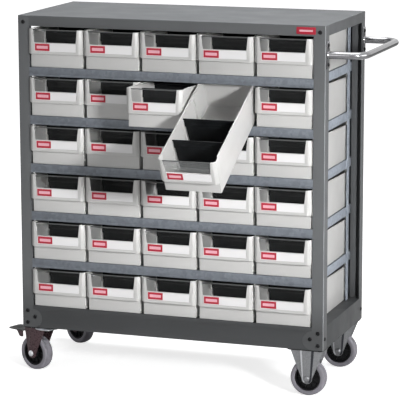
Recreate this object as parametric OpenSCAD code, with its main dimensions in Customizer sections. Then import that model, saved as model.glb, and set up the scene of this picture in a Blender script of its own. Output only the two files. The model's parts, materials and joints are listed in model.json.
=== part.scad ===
// Mobile parts cabinet: a sheet-metal body on casters with tilting plastic drawers.
// Millimetres, +Z up. The origin lies on the floor under the middle of the body.
// The drawer fronts face -Y and the push handle is at +X.

/* [Body] */
// Width of the sheet-metal body
body_w = 880; // [760:1:1000]
// Depth of the sheet-metal body
body_d = 400; // [396:1:460]
// Thickness of the painted sheet
sheet_t = 1.2; // [1:0.1:1.6]
// Height of the base skirt
base_h = 63; // [56:1:80]
// Height of the lip round the top panel
top_lip_h = 29; // [24:1:40]
// How far that lip hangs below the level over the highest row of drawers
top_lip_drop = 22; // [16:1:26]
// Width of the stiffening flange round the underside of the base
base_flange_w = 20; // [10:1:30]
// Thickness of the corner plates that carry the casters
corner_plate_t = 3; // [2:0.5:5]

/* [Shelves] */
// Number of drawer rows
rows = 6; // [3:1:6]
// Number of drawer columns
cols = 5; // [4:1:5]
// Height from one shelf to the next
row_pitch = 135; // [130:1:150]
// Height of the folded lip round each shelf
shelf_lip_h = 25; // [20:1:26]
// Thickness of the galvanised shelf sheet
shelf_t = 1; // [0.8:0.1:1.5]

/* [Posts] */
// Width of the front face of each corner post
post_face_w = 32.5; // [28:0.5:40]
// Width of the side flange of each corner post
post_side_w = 34; // [28:0.5:40]
// Depth of the return lip beside the drawers
post_return_d = 18; // [12:1:24]
// Width of the inner lip behind the front face of a post
post_lip_w = 17; // [10:1:20]
// Radius of the rounded foot tab of each post
foot_tab_r = 26; // [22:1:27]
// Thickness of the slotted uprights
upright_t = 1.5; // [1:0.1:2]
// Width of the slotted uprights
upright_w = 24; // [16:1:26]
// Distance from the rear of the body to the uprights
upright_inset = 40; // [26:1:50]
// Height of one slot in an upright
slot_h = 12; // [8:1:16]
// Width of one slot in an upright
slot_w = 5; // [3:0.5:8]
// Number of slots in an upright for each shelf
slots_per_row = 3; // [2:1:4]

/* [Drawers] */
// Gap between two drawer fronts
front_gap = 3; // [2:0.5:6]
// How far a drawer front overhangs the tray on each side
front_overhang = 3.5; // [2.5:0.5:5]
// Distance of the closed drawers' rear walls from the rear of the body
tray_rear_gap = 19; // [12:1:50]
// Height of the tray at the front and at the rear stop
tray_h = 106; // [100:1:107]
// Height of the side walls at the rear
rear_rim_h = 96; // [92:1:99]
// Wall thickness of the tray
wall_t = 2; // [1.5:0.1:2.5]
// Floor thickness of the tray
floor_t = 2; // [1.5:0.1:3]
// Distance of the lower front wall behind the post faces
front_set = 3; // [1:0.5:6]
// Height of the lower front wall under the label panel
panel_z = 37; // [32:1:38]
// Height of the lower corner of the panel at the sides
panel_side_z = 39.5; // [38:0.5:43]
// Height of the sill over the label panel
sill_z = 69.5; // [68.5:0.5:74]
// How far the label panel stands in front of the lower wall
panel_proj = 14; // [12:1:18]
// Thickness of the label panel
panel_t = 2.4; // [2:0.1:3]
// Width of the slanted corner of the front, seen from the front
corner_w = 9; // [8:0.5:12]
// Depth of the slanted corner of the front, seen from above
corner_d = 8; // [6:0.5:12]
// Depth of the wider part of the tray behind the lower front wall
shoulder_d = 18; // [16:1:24]
// Flat width of each ear beside the window, half way up
ear_lap = 7.5; // [5:0.5:9]
// How far the opening of the window widens at each side from half way up to its top
ear_lean = 2; // [0.5:0.5:3]
// How far each side of the front leans in towards its top
front_draft = 1; // [0.5:0.5:2]

/* [Drawer inserts] */
// Thickness of the clear window
window_t = 1.5; // [1:0.1:2]
// Height of the top edge of the window
window_top = 105; // [94:1:105]
// Thickness of a divider
divider_t = 1.8; // [1.2:0.1:2.4]
// Distance between two divider positions
divider_pitch = 95; // [60:1:110]
// Number of divider positions in a tray
divider_slots = 3; // [2:1:3]
// Number of dividers fitted in a tray
divider_count = 2; // [1:1:2]
// Height of the top edge of a divider
divider_top = 92; // [80:1:94]
// Height of the step in the side of a divider
divider_step_z = 66; // [50:1:72]
// Width of the step in the side of a divider
divider_step = 4.5; // [4:0.5:6]
// Draft of each side of a divider below its step
divider_draft = 4; // [0:0.5:8]
// How far a guide rib stands out of the wall
rib_out = 2.5; // [1.5:0.1:3.5]
// Thickness of a guide rib
rib_t = 1.5; // [1:0.1:2]
// Height of the guide ribs
rib_top = 88; // [70:1:90]
// Height of the label card
card_h = 22.5; // [20:0.5:22.5]
// Width of the label card
card_w = 122; // [90:1:123]
// Distance of the label card from the left ear
card_inset = 3.5; // [1:0.5:4]
// Thickness of the label card
card_t = 0.6; // [0.4:0.1:1]
// Height of the lower edge of the label card
card_z = 45.5; // [42:0.5:48]
// Depth of the recess for the label card
card_recess = 0.8; // [0.5:0.1:1.2]
// Width of the colour tag
tag_w = 43; // [20:0.5:60]
// Height of the colour tag
tag_h = 19.5; // [12:0.5:20]
// Thickness of the colour tag
tag_t = 0.4; // [0.3:0.1:0.8]

/* [Open drawers] */
// Row of the two open drawers, counted from the top
open_row = 2; // [2:1:2]
// Column of the drawer that is pulled out level
pulled_col = 3; // [1:1:3]
// Column of the drawer that hangs tilted
hung_col = 4; // [4:1:4]
// How far the level drawer is pulled out
pull_out = 105; // [0:1:200]
// Angle at which the hanging drawer is turned down
hung_turn = 27.4; // [20:0.1:32]
// Gap between the rear stop of the hanging drawer and the shelf above
stop_gap = 0.8; // [0.4:0.1:2]

/* [Name plate] */
// Width of the plain red plate
plate_w = 53; // [40:1:60]
// Height of the plain red plate
plate_h = 19; // [12:1:22]
// Thickness of the plain red plate
plate_t = 1; // [0.6:0.1:1.5]
// Distance from the side of the body to the plate
plate_inset = 27; // [26:0.5:30]

/* [Push handle] */
// Outer diameter of the handle tube
handle_d = 19; // [16:0.5:25]
// Distance of the grip's centre line from the side of the body
handle_reach = 100; // [80:1:130]
// Bend radius of the handle's centre line
handle_bend_r = 40; // [25:1:60]
// Height of the handle below the top of the body
handle_drop = 79; // [60:1:120]
// Width of the welded end plates
handle_plate_w = 22; // [20:1:26]
// Height of the welded end plates
handle_plate_h = 74; // [66:1:90]
// Thickness of the welded end plates
handle_plate_t = 3; // [2:0.5:5]
// Distance between the two bolts of an end plate
handle_bolt_span = 52; // [44:1:56]

/* [Bolts] */
// Thread diameter of the bolts
bolt_d = 6; // [5:0.5:6]
// Head diameter of the bolts
bolt_head_d = 12; // [10:0.5:13]
// Diameter of the flat top of a bolt head
bolt_crown_d = 8.5; // [7:0.5:9.5]
// Head height of the bolts
bolt_head_h = 3; // [2:0.5:4]
// Width of the socket in a bolt head across its corners
socket_d = 4.2; // [3.5:0.1:5]
// Depth of the socket in a bolt head
socket_h = 1.8; // [1:0.1:2]
// Width of the nuts across the corners
nut_d = 11; // [10:0.5:11.5]
// Height of the nuts
nut_h = 4; // [3:0.5:4]
// How far a bolt stands out past its nut
bolt_tip = 0.6; // [0.2:0.1:1]
// Distance of the outer post bolts from the side of the body
post_bolt_inset = 15.5; // [14:0.5:18]
// Height of the lower post bolt over the underside of the body
post_bolt_low = 13.5; // [13.5:0.5:16]
// Height of the upper post bolt over the underside of the body
post_bolt_high = 47.5; // [44:0.5:50]
// Distance of the bolt in the foot tab from the side of the body
tab_bolt_inset = 38; // [34:1:42]
// Distance of the side bolt from the front or rear of the body
side_bolt_inset = 14; // [13:1:18]
// Distance of the top bolts below the top of the body
top_bolt_drop = 18; // [14:1:20]

/* [Casters] */
// Diameter of a wheel
wheel_d = 100; // [90:1:102]
// Height of a caster's mounting face over the top of its wheel
caster_clear = 36; // [33:1:46]
// Width of the tyre
tyre_w = 32; // [26:1:34]
// Radial thickness of the tyre
tyre_t = 14; // [8:1:18]
// Size of the bevel at the tyre's shoulders
tyre_bevel = 6; // [2:1:8]
// Width of the hub's rim
hub_w = 28; // [20:1:30]
// Radial thickness of the hub's rim
rim_t = 4; // [3:0.5:6]
// Size of the bevel where the tyre meets the hub
tyre_lip = 2; // [1:0.5:3]
// Diameter of the hub's boss
boss_d = 26; // [20:1:32]
// Length of the hub's boss
boss_w = 37; // [36:0.5:42]
// Thickness of the hub's web
web_t = 8; // [5:1:12]
// Diameter of the axle
axle_d = 10; // [8:0.5:12]
// Diameter of the axle's head and nut
axle_head_d = 17; // [14:1:20]
// Height of the axle's head and nut
axle_head_h = 4.5; // [3:0.5:6]
// Thickness of the fork's sheet
fork_t = 3; // [2.5:0.1:4]
// Length of the caster plate
caster_plate_l = 102; // [96:1:104]
// Width of the caster plate
caster_plate_w = 84; // [78:1:86]
// Thickness of the caster plate
caster_plate_t = 3; // [2:0.5:4]
// Distance of a caster's centre from the side of the body
caster_inset_x = 52; // [52:1:60]
// Distance of a caster's centre from the front or rear of the body
caster_inset_y = 43; // [43:1:50]
// Distance between the plate's bolts along the body
caster_bolt_l = 76; // [74:1:80]
// Distance between the plate's bolts across the body
caster_bolt_w = 58; // [56:1:60]
// Width of a fork leg at its top
leg_top_w = 92; // [70:1:98]
// Width of the pressed rib in a fork leg at its top
leg_rib_w = 40; // [30:1:48]
// Width of the pressed rib in a fork leg at its foot
leg_rib_foot_w = 28; // [20:1:30]
// How far the pressed rib stands out
leg_rib_out = 3; // [1:0.5:4]
// Height of the straight part at the top of a fork leg
leg_shoulder = 6; // [3:1:10]
// Radius of a fork leg round the axle
leg_end_r = 15; // [12:1:18]

/* [Swivel casters] */
// Distance of the wheel's axle behind the swivel axis
trail = 36; // [30:1:40]
// Width of a swivel fork's leg at its top
swivel_leg_w = 74; // [66:1:92]
// How far the front swivel caster is turned
front_turn = 20; // [-40:1:40]
// How far the rear swivel caster is turned
rear_turn = 28; // [-40:1:40]
// Diameter of the ball race
race_d = 62; // [50:1:70]
// Height of the ball race's upper ring
race_h = 6; // [4:0.5:8]
// Thickness of the fork's crown
crown_t = 3; // [2.5:0.5:4]
// Diameter of the king pin
king_d = 12; // [10:0.5:16]
// Diameter of the king pin's head under the crown
king_head_d = 22; // [18:1:26]
// Height of the king pin's head under the crown
king_head_h = 6; // [4:0.5:8]
// Distance from the swivel axis to the front edge of the fork
fork_front = 30; // [26:1:34]
// Width of metal round the pedal pin's hole
pin_margin = 8; // [6:1:10]
// Distance of the brake pedal's pin behind the swivel axis
pedal_pin_back = 54; // [50:1:58]
// Distance of the brake pedal's pin below the mounting face
pedal_pin_drop = 23; // [22:0.5:24]
// Diameter of the brake pedal's pin
pedal_pin_d = 6; // [5:0.5:7]
// Thickness of the brake pedal
pedal_t = 2.5; // [2:0.1:3]
// Length of the brake pedal behind the swivel axis
pedal_reach = 125; // [110:1:130]
// Length of the cheeks under the foot plate's sides
pedal_cheek_l = 24; // [16:1:30]
// Height of the cheeks under the foot plate's sides
pedal_cheek_h = 18; // [10:1:20]
// Width of the brake pedal's foot plate
pedal_w = 51; // [44:1:60]
// Width of the brake shoe under the pedal
shoe_w = 24; // [16:1:28]
// Length of the brake shoe
shoe_l = 9; // [6:1:10]
// Gap between the brake shoe and the tyre with the pedal up
shoe_gap = 2; // [1:0.5:3]

/* [Clearances] */
// Gap between a piece and the seat it slides or stands on
seat = 0.3; // [0.1:0.1:0.5]
// Gap behind a glued card or tag
film = 0.1; // [0.05:0.05:0.2]
// Radial clearance of a running shaft
run_fit = 0.05; // [0.02:0.01:0.1]
// Radial clearance of a bolt in its hole
bolt_fit = 0.3; // [0.2:0.1:0.5]
// Smoothness of round surfaces
$fn = 64; // [32:8:96]

/* [Hidden] */
eps = 0.5;
bay_h = row_pitch - shelf_t;
body_h = base_h + rows * row_pitch - top_lip_drop + top_lip_h;
caster_h = wheel_d + caster_clear;
body_z = caster_h;
top_z = body_z + body_h;
lip_z = top_z - top_lip_h;
deck_z = body_z + base_h;
open_w = body_w - 2 * post_face_w;
col_pitch = open_w / cols;
half_w = body_w / 2;
half_d = body_d / 2;
half_open = open_w / 2;
inner_d = body_d - 2 * sheet_t;
ring_w = body_w - 2 * sheet_t;
post_top_z = top_z - sheet_t;

front_w = col_pitch - front_gap;
front_hw = front_w / 2;
tray_w = front_w - 2 * front_overhang;
tray_hw = tray_w / 2;
cavity_hw = tray_hw - wall_t;
window_hw = front_hw - corner_w - ear_lap;
card_left = card_inset - window_hw;

tray_len = body_d - front_set - tray_rear_gap;
hung_stay = (bay_h - stop_gap - (tray_h + seat) * cos(hung_turn)) / sin(hung_turn);

axle_z = wheel_d / 2;
wheel_r = wheel_d / 2;
hub_r = wheel_r - tyre_t;
leg_gap = boss_w + 2 * seat;
leg_out = leg_gap / 2 + fork_t;
plate_z = caster_h - caster_plate_t;
crown_z = plate_z - race_h - seat - crown_t;
handle_z = top_z - handle_drop;
handle_y = half_d - post_side_w / 2;
tab_bolt_z = (post_bolt_low + post_bolt_high) / 2;

drawer_cells = [for (r = [1:rows]) for (c = [1:cols]) [r, c]];
function drawer_name(cell) = str("drawer_r", cell[0], "_c", cell[1]);
function shelf_name(r) = str("shelf_", r);
function wheel_name(i) = ["wheel_front_left", "wheel_rear_left", "wheel_front_right", "wheel_rear_right"][i];
function is_hung(cell) = cell[0] == open_row && cell[1] == hung_col;
function is_pulled(cell) = cell[0] == open_row && cell[1] == pulled_col;
function col_x(c) = -half_open + (c - 0.5) * col_pitch;
function shelf_z(r) = deck_z + (rows - r) * row_pitch;
function divider_y(k) = k * divider_pitch;

// Box from its lowest corner and its size, with the middle of its width at x.
module centred_box(x, y, z, w, d, h) {
    translate([x - w / 2, y, z])
        cube([w, d, h]);
}

// Repeats its children at the four corners, mirrored in place.
module corner_frame(side, end) {
    mirror([side > 0 ? 1 : 0, 0, 0])
        mirror([0, end > 0 ? 1 : 0, 0])
            translate([-half_w, -half_d, body_z])
                children();
}

// Steel sheet of a post, drawn for the front left corner.
module post_shape() {
    difference() {
        union() {
            cube([post_face_w, sheet_t, post_top_z - body_z]);
            cube([sheet_t, post_side_w, post_top_z - body_z]);
            translate([post_face_w - sheet_t, 0, base_h])
                cube([sheet_t, post_return_d, lip_z - deck_z]);
            translate([post_face_w - post_lip_w, post_return_d - sheet_t, base_h])
                cube([post_lip_w, sheet_t, lip_z - deck_z]);
            translate([post_face_w, sheet_t, foot_tab_r])
                rotate([90, 0, 0])
                    cylinder(r = foot_tab_r, h = sheet_t);
        }
        post_bolt_holes();
    }
}

// Places its children at each bolt of a front left post, pointing inwards along +Y.
module at_post_bolts() {
    for (p = [[post_bolt_inset, post_bolt_low], [post_bolt_inset, post_bolt_high],
              [tab_bolt_inset, tab_bolt_z], [post_bolt_inset, body_h - top_bolt_drop]])
        translate([p[0], 0, p[1]])
            children();
    translate([0, side_bolt_inset, tab_bolt_z])
        rotate([0, 0, -90])
            children();
}

// Places its children at each handle bolt, pointing inwards along +Y.
module at_handle_bolts() {
    for (end = [-1, 1], up = [-1, 1])
        translate([half_w + handle_plate_t, end * handle_y, handle_z + up * handle_bolt_span / 2])
            rotate([0, 0, 90])
                children();
}

// Places its children at each caster bolt, pointing upwards from the plate's underside.
module at_caster_bolts() {
    for (sx = [-1, 1], sy = [-1, 1], bx = [-1, 1], by = [-1, 1])
        translate([sx * (half_w - caster_inset_x) + bx * caster_bolt_l / 2,
                   sy * (half_d - caster_inset_y) + by * caster_bolt_w / 2, plate_z])
            children();
}

module bolt_hole(depth) {
    translate([0, -eps, 0])
        rotate([-90, 0, 0])
            cylinder(d = bolt_d + 2 * bolt_fit, h = depth + 2 * eps);
}

module post_bolt_holes() {
    at_post_bolts()
        bolt_hole(3 * sheet_t);
}

// Button-head bolt along +Y through a stack, with its nut behind the stack.
module bolt_and_nut(stack) {
    rotate([-90, 0, 0]) {
        difference() {
            union() {
                translate([0, 0, -bolt_head_h])
                    cylinder(d1 = bolt_crown_d, d2 = bolt_head_d, h = bolt_head_h);
                cylinder(d = bolt_d - 2 * run_fit, h = stack + nut_h + bolt_tip);
            }
            translate([0, 0, -bolt_head_h - eps])
                cylinder(d = socket_d, h = socket_h + eps, $fn = 6);
        }
        translate([0, 0, stack])
            difference() {
                cylinder(d = nut_d, h = nut_h, $fn = 6);
                translate([0, 0, -eps])
                    cylinder(d = bolt_d, h = nut_h + 2 * eps);
            }
    }
}

module post(side, end) {
    color("dimgray")
        difference() {
            corner_frame(side, end)
                post_shape();
            if (side > 0)
                at_handle_bolts()
                    bolt_hole(handle_plate_t + sheet_t);
        }
}

// Ring of sheet inside the posts, with outer skins that lie flush between the posts.
module skirt(z, h) {
    difference() {
        centred_box(0, -half_d + sheet_t, z, ring_w, inner_d, h);
        centred_box(0, -half_d + 2 * sheet_t, z - eps, ring_w - 2 * sheet_t,
                    inner_d - 2 * sheet_t, h + 2 * eps);
    }
    for (m = [0, 1])
        mirror([0, m, 0])
            centred_box(0, -half_d, z, open_w, sheet_t + eps, h);
    for (m = [0, 1])
        mirror([m, 0, 0])
            translate([-half_w, -half_d + post_side_w, z])
                cube([sheet_t + eps, body_d - 2 * post_side_w, h]);
}

module top_panel() {
    color("gray")
        difference() {
            union() {
                centred_box(0, -half_d, post_top_z, body_w, body_d, sheet_t);
                skirt(lip_z, top_lip_h - sheet_t / 2);
            }
            all_post_bolt_holes();
        }
}

module all_post_bolt_holes() {
    for (side = [-1, 1], end = [-1, 1])
        corner_frame(side, end)
            post_bolt_holes();
}

// Rounded foot tabs of the posts, with a clearance, cut out of the base's flush skins.
module foot_tab_seats() {
    for (side = [-1, 1], end = [-1, 1])
        corner_frame(side, end)
            translate([post_face_w, sheet_t, foot_tab_r])
                rotate([90, 0, 0])
                    cylinder(r = foot_tab_r + seat, h = sheet_t + eps);
}

module base_frame() {
    color("dimgray")
        difference() {
            union() {
                difference() {
                    skirt(body_z, base_h);
                    foot_tab_seats();
                }
                centred_box(0, -half_d + sheet_t, deck_z - sheet_t, ring_w, inner_d, sheet_t);
                difference() {
                    centred_box(0, -half_d + sheet_t, body_z, ring_w, inner_d, sheet_t);
                    centred_box(0, -half_d + sheet_t + base_flange_w, body_z - eps,
                                ring_w - 2 * base_flange_w, inner_d - 2 * base_flange_w,
                                sheet_t + 2 * eps);
                }
                for (sx = [-1, 1], sy = [-1, 1])
                    translate([sx * (half_w - caster_inset_x), sy * (half_d - caster_inset_y),
                               body_z + corner_plate_t / 2])
                        cube([caster_plate_l - 2 * sheet_t, caster_plate_w - 2 * sheet_t,
                              corner_plate_t], center = true);
            }
            all_post_bolt_holes();
            at_caster_bolts()
                rotate([90, 0, 0])
                    bolt_hole(caster_plate_t + corner_plate_t);
        }
}

module back_panel() {
    color("dimgray")
        centred_box(0, half_d - 2 * sheet_t, deck_z, open_w, sheet_t, lip_z - deck_z);
}

// Galvanised shelf with a lip folded down on all four sides.
module shelf(r) {
    z = shelf_z(r);
    depth = body_d - 2 * sheet_t;
    color("silver")
        difference() {
            centred_box(0, -half_d, z - shelf_lip_h, open_w, depth, shelf_lip_h);
            centred_box(0, -half_d + shelf_t, z - shelf_lip_h - eps, open_w - 2 * shelf_t,
                        depth - 2 * shelf_t, shelf_lip_h - shelf_t + eps);
        }
}

module shelf_uprights() {
    slot_pitch = row_pitch / slots_per_row;
    y = half_d - upright_inset - upright_w;
    color("lightsteelblue")
        for (m = [0, 1])
            mirror([m, 0, 0])
                difference() {
                    translate([half_open, y, deck_z])
                        cube([upright_t, upright_w, post_top_z - deck_z]);
                    for (r = [1:rows], k = [0:slots_per_row - 1])
                        translate([half_open - eps, y + (upright_w - slot_w) / 2,
                                   shelf_z(r) + (k + 0.5) * slot_pitch])
                            cube([upright_t + 2 * eps, slot_w, slot_h]);
                }
}

module frame_bolts() {
    color("black") {
        for (side = [-1, 1], end = [-1, 1])
            corner_frame(side, end)
                at_post_bolts()
                    bolt_and_nut(2 * sheet_t);
        at_handle_bolts()
            bolt_and_nut(handle_plate_t + sheet_t);
        at_caster_bolts()
            rotate([90, 0, 0])
                bolt_and_nut(caster_plate_t + corner_plate_t);
    }
}

module name_plate() {
    color("crimson")
        translate([half_w - plate_inset - plate_w, -half_d - plate_t,
                   lip_z + (top_lip_h - plate_h) / 2])
            cube([plate_w, plate_t, plate_h]);
}

module push_handle() {
    leg_l = handle_reach - handle_bend_r - handle_plate_t;
    bar_l = 2 * (handle_y - handle_bend_r);
    color("gainsboro")
        difference() {
            union() {
                for (m = [0, 1])
                    mirror([0, m, 0]) {
                        translate([half_w, handle_y - handle_plate_w / 2, handle_z - handle_plate_h / 2])
                            cube([handle_plate_t, handle_plate_w, handle_plate_h]);
                        translate([half_w + handle_plate_t, handle_y, handle_z])
                            rotate([0, 90, 0])
                                cylinder(d = handle_d, h = leg_l);
                        translate([half_w + handle_reach - handle_bend_r, handle_y - handle_bend_r,
                                   handle_z])
                            rotate_extrude(angle = 90)
                                translate([handle_bend_r, 0])
                                    circle(d = handle_d);
                    }
                translate([half_w + handle_reach, bar_l / 2, handle_z])
                    rotate([90, 0, 0])
                        cylinder(d = handle_d, h = bar_l);
            }
            at_handle_bolts()
                bolt_hole(handle_plate_t);
        }
}

// Drawer tray. Its origin is at the foot of the lower front wall, in the middle of its width,
// and it runs back along +Y.
module tray_outline() {
    rotate([90, 0, 90])
        translate([0, 0, -tray_hw])
            linear_extrude(height = tray_w)
                polygon([
                    [0, 0],
                    [tray_len, 0],
                    [tray_len, tray_h],
                    [tray_len - wall_t, tray_h],
                    [tray_len - wall_t, rear_rim_h],
                    [shoulder_d, tray_h],
                    [0, tray_h]
                ]);
}

// Outline of the front seen from above, drawn in by a wall thickness at the sides and the front.
module front_plan(side_in, front_in) {
    side_x = front_hw - side_in;
    nose_x = front_hw - corner_w - side_in / 2;
    back_x = tray_hw - side_in;
    nose_y = -panel_proj + front_in;
    corner_y = -panel_proj + corner_d + front_in / 2;
    polygon([
        [-nose_x, nose_y],
        [nose_x, nose_y],
        [side_x, corner_y],
        [side_x, shoulder_d - 2 * front_overhang],
        [back_x, shoulder_d],
        [-back_x, shoulder_d],
        [-side_x, shoulder_d - 2 * front_overhang],
        [-side_x, corner_y]
    ]);
}

module front_body() {
    lower_hw = front_hw - (panel_side_z - panel_z);
    intersection() {
        translate([0, 0, panel_z])
            linear_extrude(height = tray_h - panel_z)
                front_plan(0, 0);
        translate([0, shoulder_d + eps, 0])
            rotate([90, 0, 0])
                linear_extrude(height = shoulder_d + panel_proj + 2 * eps)
                    polygon([
                        [-lower_hw, panel_z],
                        [lower_hw, panel_z],
                        [front_hw, panel_side_z],
                        [front_hw - front_draft, tray_h],
                        [front_draft - front_hw, tray_h],
                        [-front_hw, panel_side_z]
                    ]);
    }
}

module guide_ribs() {
    rib_y = divider_t / 2 + seat;
    for (k = [1:divider_slots], s = [-1, 1], m = [0, 1])
        mirror([m, 0, 0])
            translate([cavity_hw - rib_out, divider_y(k) + (s > 0 ? rib_y : -rib_y - rib_t), floor_t - eps])
                cube([rib_out + eps, rib_t, rib_top - floor_t + eps]);
}

// Small posts that hold the window against the ears.
module window_keepers() {
    keeper_y = -panel_proj + panel_t + window_t + 2 * seat;
    for (m = [0, 1])
        mirror([m, 0, 0])
            translate([window_hw + ear_lean, keeper_y, panel_z + floor_t - eps])
                cube([ear_lap + wall_t, rib_t, window_top - panel_z - floor_t]);
}

// Opening over the sill, between the ears; it widens towards its top.
module window_opening() {
    rise = tray_h + eps - sill_z;
    top_hw = window_hw + ear_lean;
    sill_hw = window_hw - ear_lean;
    translate([0, -panel_proj + panel_t + eps, sill_z])
        rotate([90, 0, 0])
            linear_extrude(height = panel_t + 2 * eps)
                polygon([[-sill_hw, 0], [sill_hw, 0], [top_hw, rise], [-top_hw, rise]]);
}

module tray() {
    difference() {
        union() {
            tray_outline();
            front_body();
        }
        centred_box(0, wall_t, floor_t, 2 * cavity_hw, tray_len - 2 * wall_t, tray_h);
        translate([0, 0, panel_z + floor_t])
            linear_extrude(height = tray_h)
                front_plan(wall_t, panel_t);
        window_opening();
        translate([card_left - seat, -panel_proj - eps, card_z - seat])
            cube([card_w + 2 * seat, card_recess + eps, card_h + 2 * seat]);
    }
    guide_ribs();
    window_keepers();
}

module drawer_window() {
    hw = front_hw - corner_w - wall_t / 2 - seat;
    centred_box(0, -panel_proj + panel_t + seat, panel_z + floor_t + seat, 2 * hw, window_t,
                window_top - panel_z - floor_t - seat);
}

module label_card() {
    translate([card_left, -panel_proj + card_recess - card_t - film, card_z])
        cube([card_w, card_t, card_h]);
}

module colour_tag() {
    translate([card_left + (card_h - tag_h) / 2, -panel_proj + card_recess - card_t - tag_t - 2 * film,
               card_z + (card_h - tag_h) / 2])
        cube([tag_w, tag_t, tag_h]);
}

// Black divider with a stepped side, standing between two pairs of guide ribs.
module divider(k) {
    top_hw = cavity_hw - seat;
    step_hw = top_hw - divider_step;
    foot_hw = step_hw - divider_draft;
    translate([0, divider_y(k) + divider_t / 2, 0])
        rotate([90, 0, 0])
            linear_extrude(height = divider_t)
                polygon([
                    [-foot_hw, floor_t + seat],
                    [foot_hw, floor_t + seat],
                    [step_hw, divider_step_z],
                    [top_hw, divider_step_z + divider_step / 3],
                    [top_hw, divider_top],
                    [-top_hw, divider_top],
                    [-top_hw, divider_step_z + divider_step / 3],
                    [-step_hw, divider_step_z]
                ]);
}

module drawer_dividers() {
    for (k = [1:divider_count])
        divider(k);
}

// Moves a drawer from its own origin to its cell, pulled out or hanging where it is open.
module in_cell(cell) {
    edge = [col_x(cell[1]), -half_d, shelf_z(cell[0])];
    if (is_hung(cell))
        translate(edge)
            rotate([hung_turn, 0, 0])
                translate([0, hung_stay - tray_len, seat])
                    children();
    else
        translate(edge + [0, front_set - (is_pulled(cell) ? pull_out : 0), seat])
            children();
}

module drawer(cell) {
    in_cell(cell) {
        color("whitesmoke")
            tray();
        if (!is_hung(cell)) {
            color("lightcyan")
                drawer_window();
            color("white")
                label_card();
            color("crimson")
                colour_tag();
            color("black")
                drawer_dividers();
        }
    }
}

module hung_drawer_window() {
    in_cell([open_row, hung_col])
        color("lightcyan")
            drawer_window();
}

module hung_drawer_label() {
    in_cell([open_row, hung_col]) {
        color("white")
            label_card();
        color("crimson")
            colour_tag();
    }
}

module hung_drawer_dividers() {
    in_cell([open_row, hung_col])
        color("black")
            drawer_dividers();
}

// Places its children at a caster's centre, on the floor.
module at_caster(side, end) {
    translate([side * (half_w - caster_inset_x), end * (half_d - caster_inset_y), 0])
        children();
}

// Turns and places its children at a swivel caster, whose wheel trails along -X.
module at_swivel(end) {
    at_caster(-1, end)
        rotate([0, 0, end < 0 ? -front_turn : -rear_turn])
            children();
}

module caster_plate() {
    difference() {
        translate([0, 0, plate_z + caster_plate_t / 2])
            cube([caster_plate_l, caster_plate_w, caster_plate_t], center = true);
        for (bx = [-1, 1], by = [-1, 1])
            translate([bx * caster_bolt_l / 2, by * caster_bolt_w / 2, plate_z - eps])
                cylinder(d = bolt_d + 2 * bolt_fit, h = caster_plate_t + 2 * eps);
    }
}

// Outline of a fork leg: it narrows from its top to the width of the axle's boss.
module leg_outline(axle_x, top, mid_x, top_w, end_w, low) {
    polygon([
        [mid_x - top_w / 2, top],
        [mid_x - top_w / 2, top - leg_shoulder],
        [axle_x - end_w / 2, low],
        [axle_x + end_w / 2, low],
        [mid_x + top_w / 2, top - leg_shoulder],
        [mid_x + top_w / 2, top]
    ]);
}

// The two legs of a fork, each with a pressed rib on its outer face down to the axle.
module leg_pair(axle_x, top, mid_x, top_w) {
    for (m = [0, 1])
        mirror([0, m, 0])
            translate([0, leg_out, 0])
                rotate([90, 0, 0])
                    difference() {
                        union() {
                            linear_extrude(height = fork_t)
                                leg_outline(axle_x, top, mid_x, top_w, 2 * leg_end_r, axle_z);
                            translate([0, 0, -leg_rib_out])
                                linear_extrude(height = leg_rib_out + eps)
                                    leg_outline(axle_x, top, mid_x, leg_rib_w, leg_rib_foot_w, axle_z);
                            translate([axle_x, axle_z, 0])
                                cylinder(r = leg_end_r, h = fork_t);
                            translate([axle_x, axle_z, -leg_rib_out])
                                cylinder(d = leg_rib_foot_w, h = leg_rib_out + eps);
                        }
                        translate([axle_x, axle_z, -leg_rib_out - eps])
                            cylinder(d = axle_d + 2 * run_fit, h = fork_t + leg_rib_out + 2 * eps);
                    }
}

module fixed_forks() {
    color("lightgray")
        for (end = [-1, 1])
            at_caster(1, end) {
                caster_plate();
                leg_pair(0, plate_z + eps, 0, leg_top_w);
            }
}

// Axle bolt with a round head and a hex nut outside the fork's ribs.
module axle_bolt() {
    reach = leg_out + leg_rib_out + film;
    rotate([90, 0, 0]) {
        translate([0, 0, reach])
            cylinder(d = axle_head_d, h = axle_head_h);
        translate([0, 0, -reach - axle_head_h - bolt_tip])
            cylinder(d = axle_d, h = 2 * reach + axle_head_h + bolt_tip + eps);
        translate([0, 0, -reach - axle_head_h])
            cylinder(d = axle_head_d, h = axle_head_h, $fn = 6);
    }
}

module fixed_axles() {
    color("gainsboro")
        for (end = [-1, 1])
            at_caster(1, end)
                translate([0, 0, axle_z])
                    axle_bolt();
}

// Bolted plate of a swivel caster with the upper ring of its ball race and its king pin.
module swivel_plates() {
    color("gainsboro")
        for (end = [-1, 1])
            at_caster(-1, end) {
                caster_plate();
                translate([0, 0, plate_z - race_h])
                    cylinder(d = race_d, h = race_h + eps);
                translate([0, 0, crown_z - seat - king_head_h]) {
                    cylinder(d = king_d, h = plate_z - crown_z + king_head_h + seat);
                    cylinder(d = king_head_d, h = king_head_h);
                }
            }
}

module swivel_fork(end) {
    crown_w = 2 * leg_out;
    crown_l = pedal_pin_back + pin_margin + fork_front;
    leg_x = fork_front - crown_l + swivel_leg_w / 2;
    color("lightgray")
        at_swivel(end) {
            difference() {
                union() {
                    translate([fork_front - crown_l, -crown_w / 2, crown_z])
                        cube([crown_l, crown_w, crown_t]);
                    translate([0, 0, crown_z])
                        cylinder(d = race_d, h = crown_t);
                    leg_pair(-trail, crown_z + crown_t, leg_x, swivel_leg_w);
                }
                translate([0, 0, crown_z - eps])
                    cylinder(d = king_d + 2 * run_fit, h = crown_t + 2 * eps);
                pedal_pin(2 * run_fit);
            }
            translate([-trail, 0, axle_z])
                axle_bolt();
            pedal_pin(0);
        }
}

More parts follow.
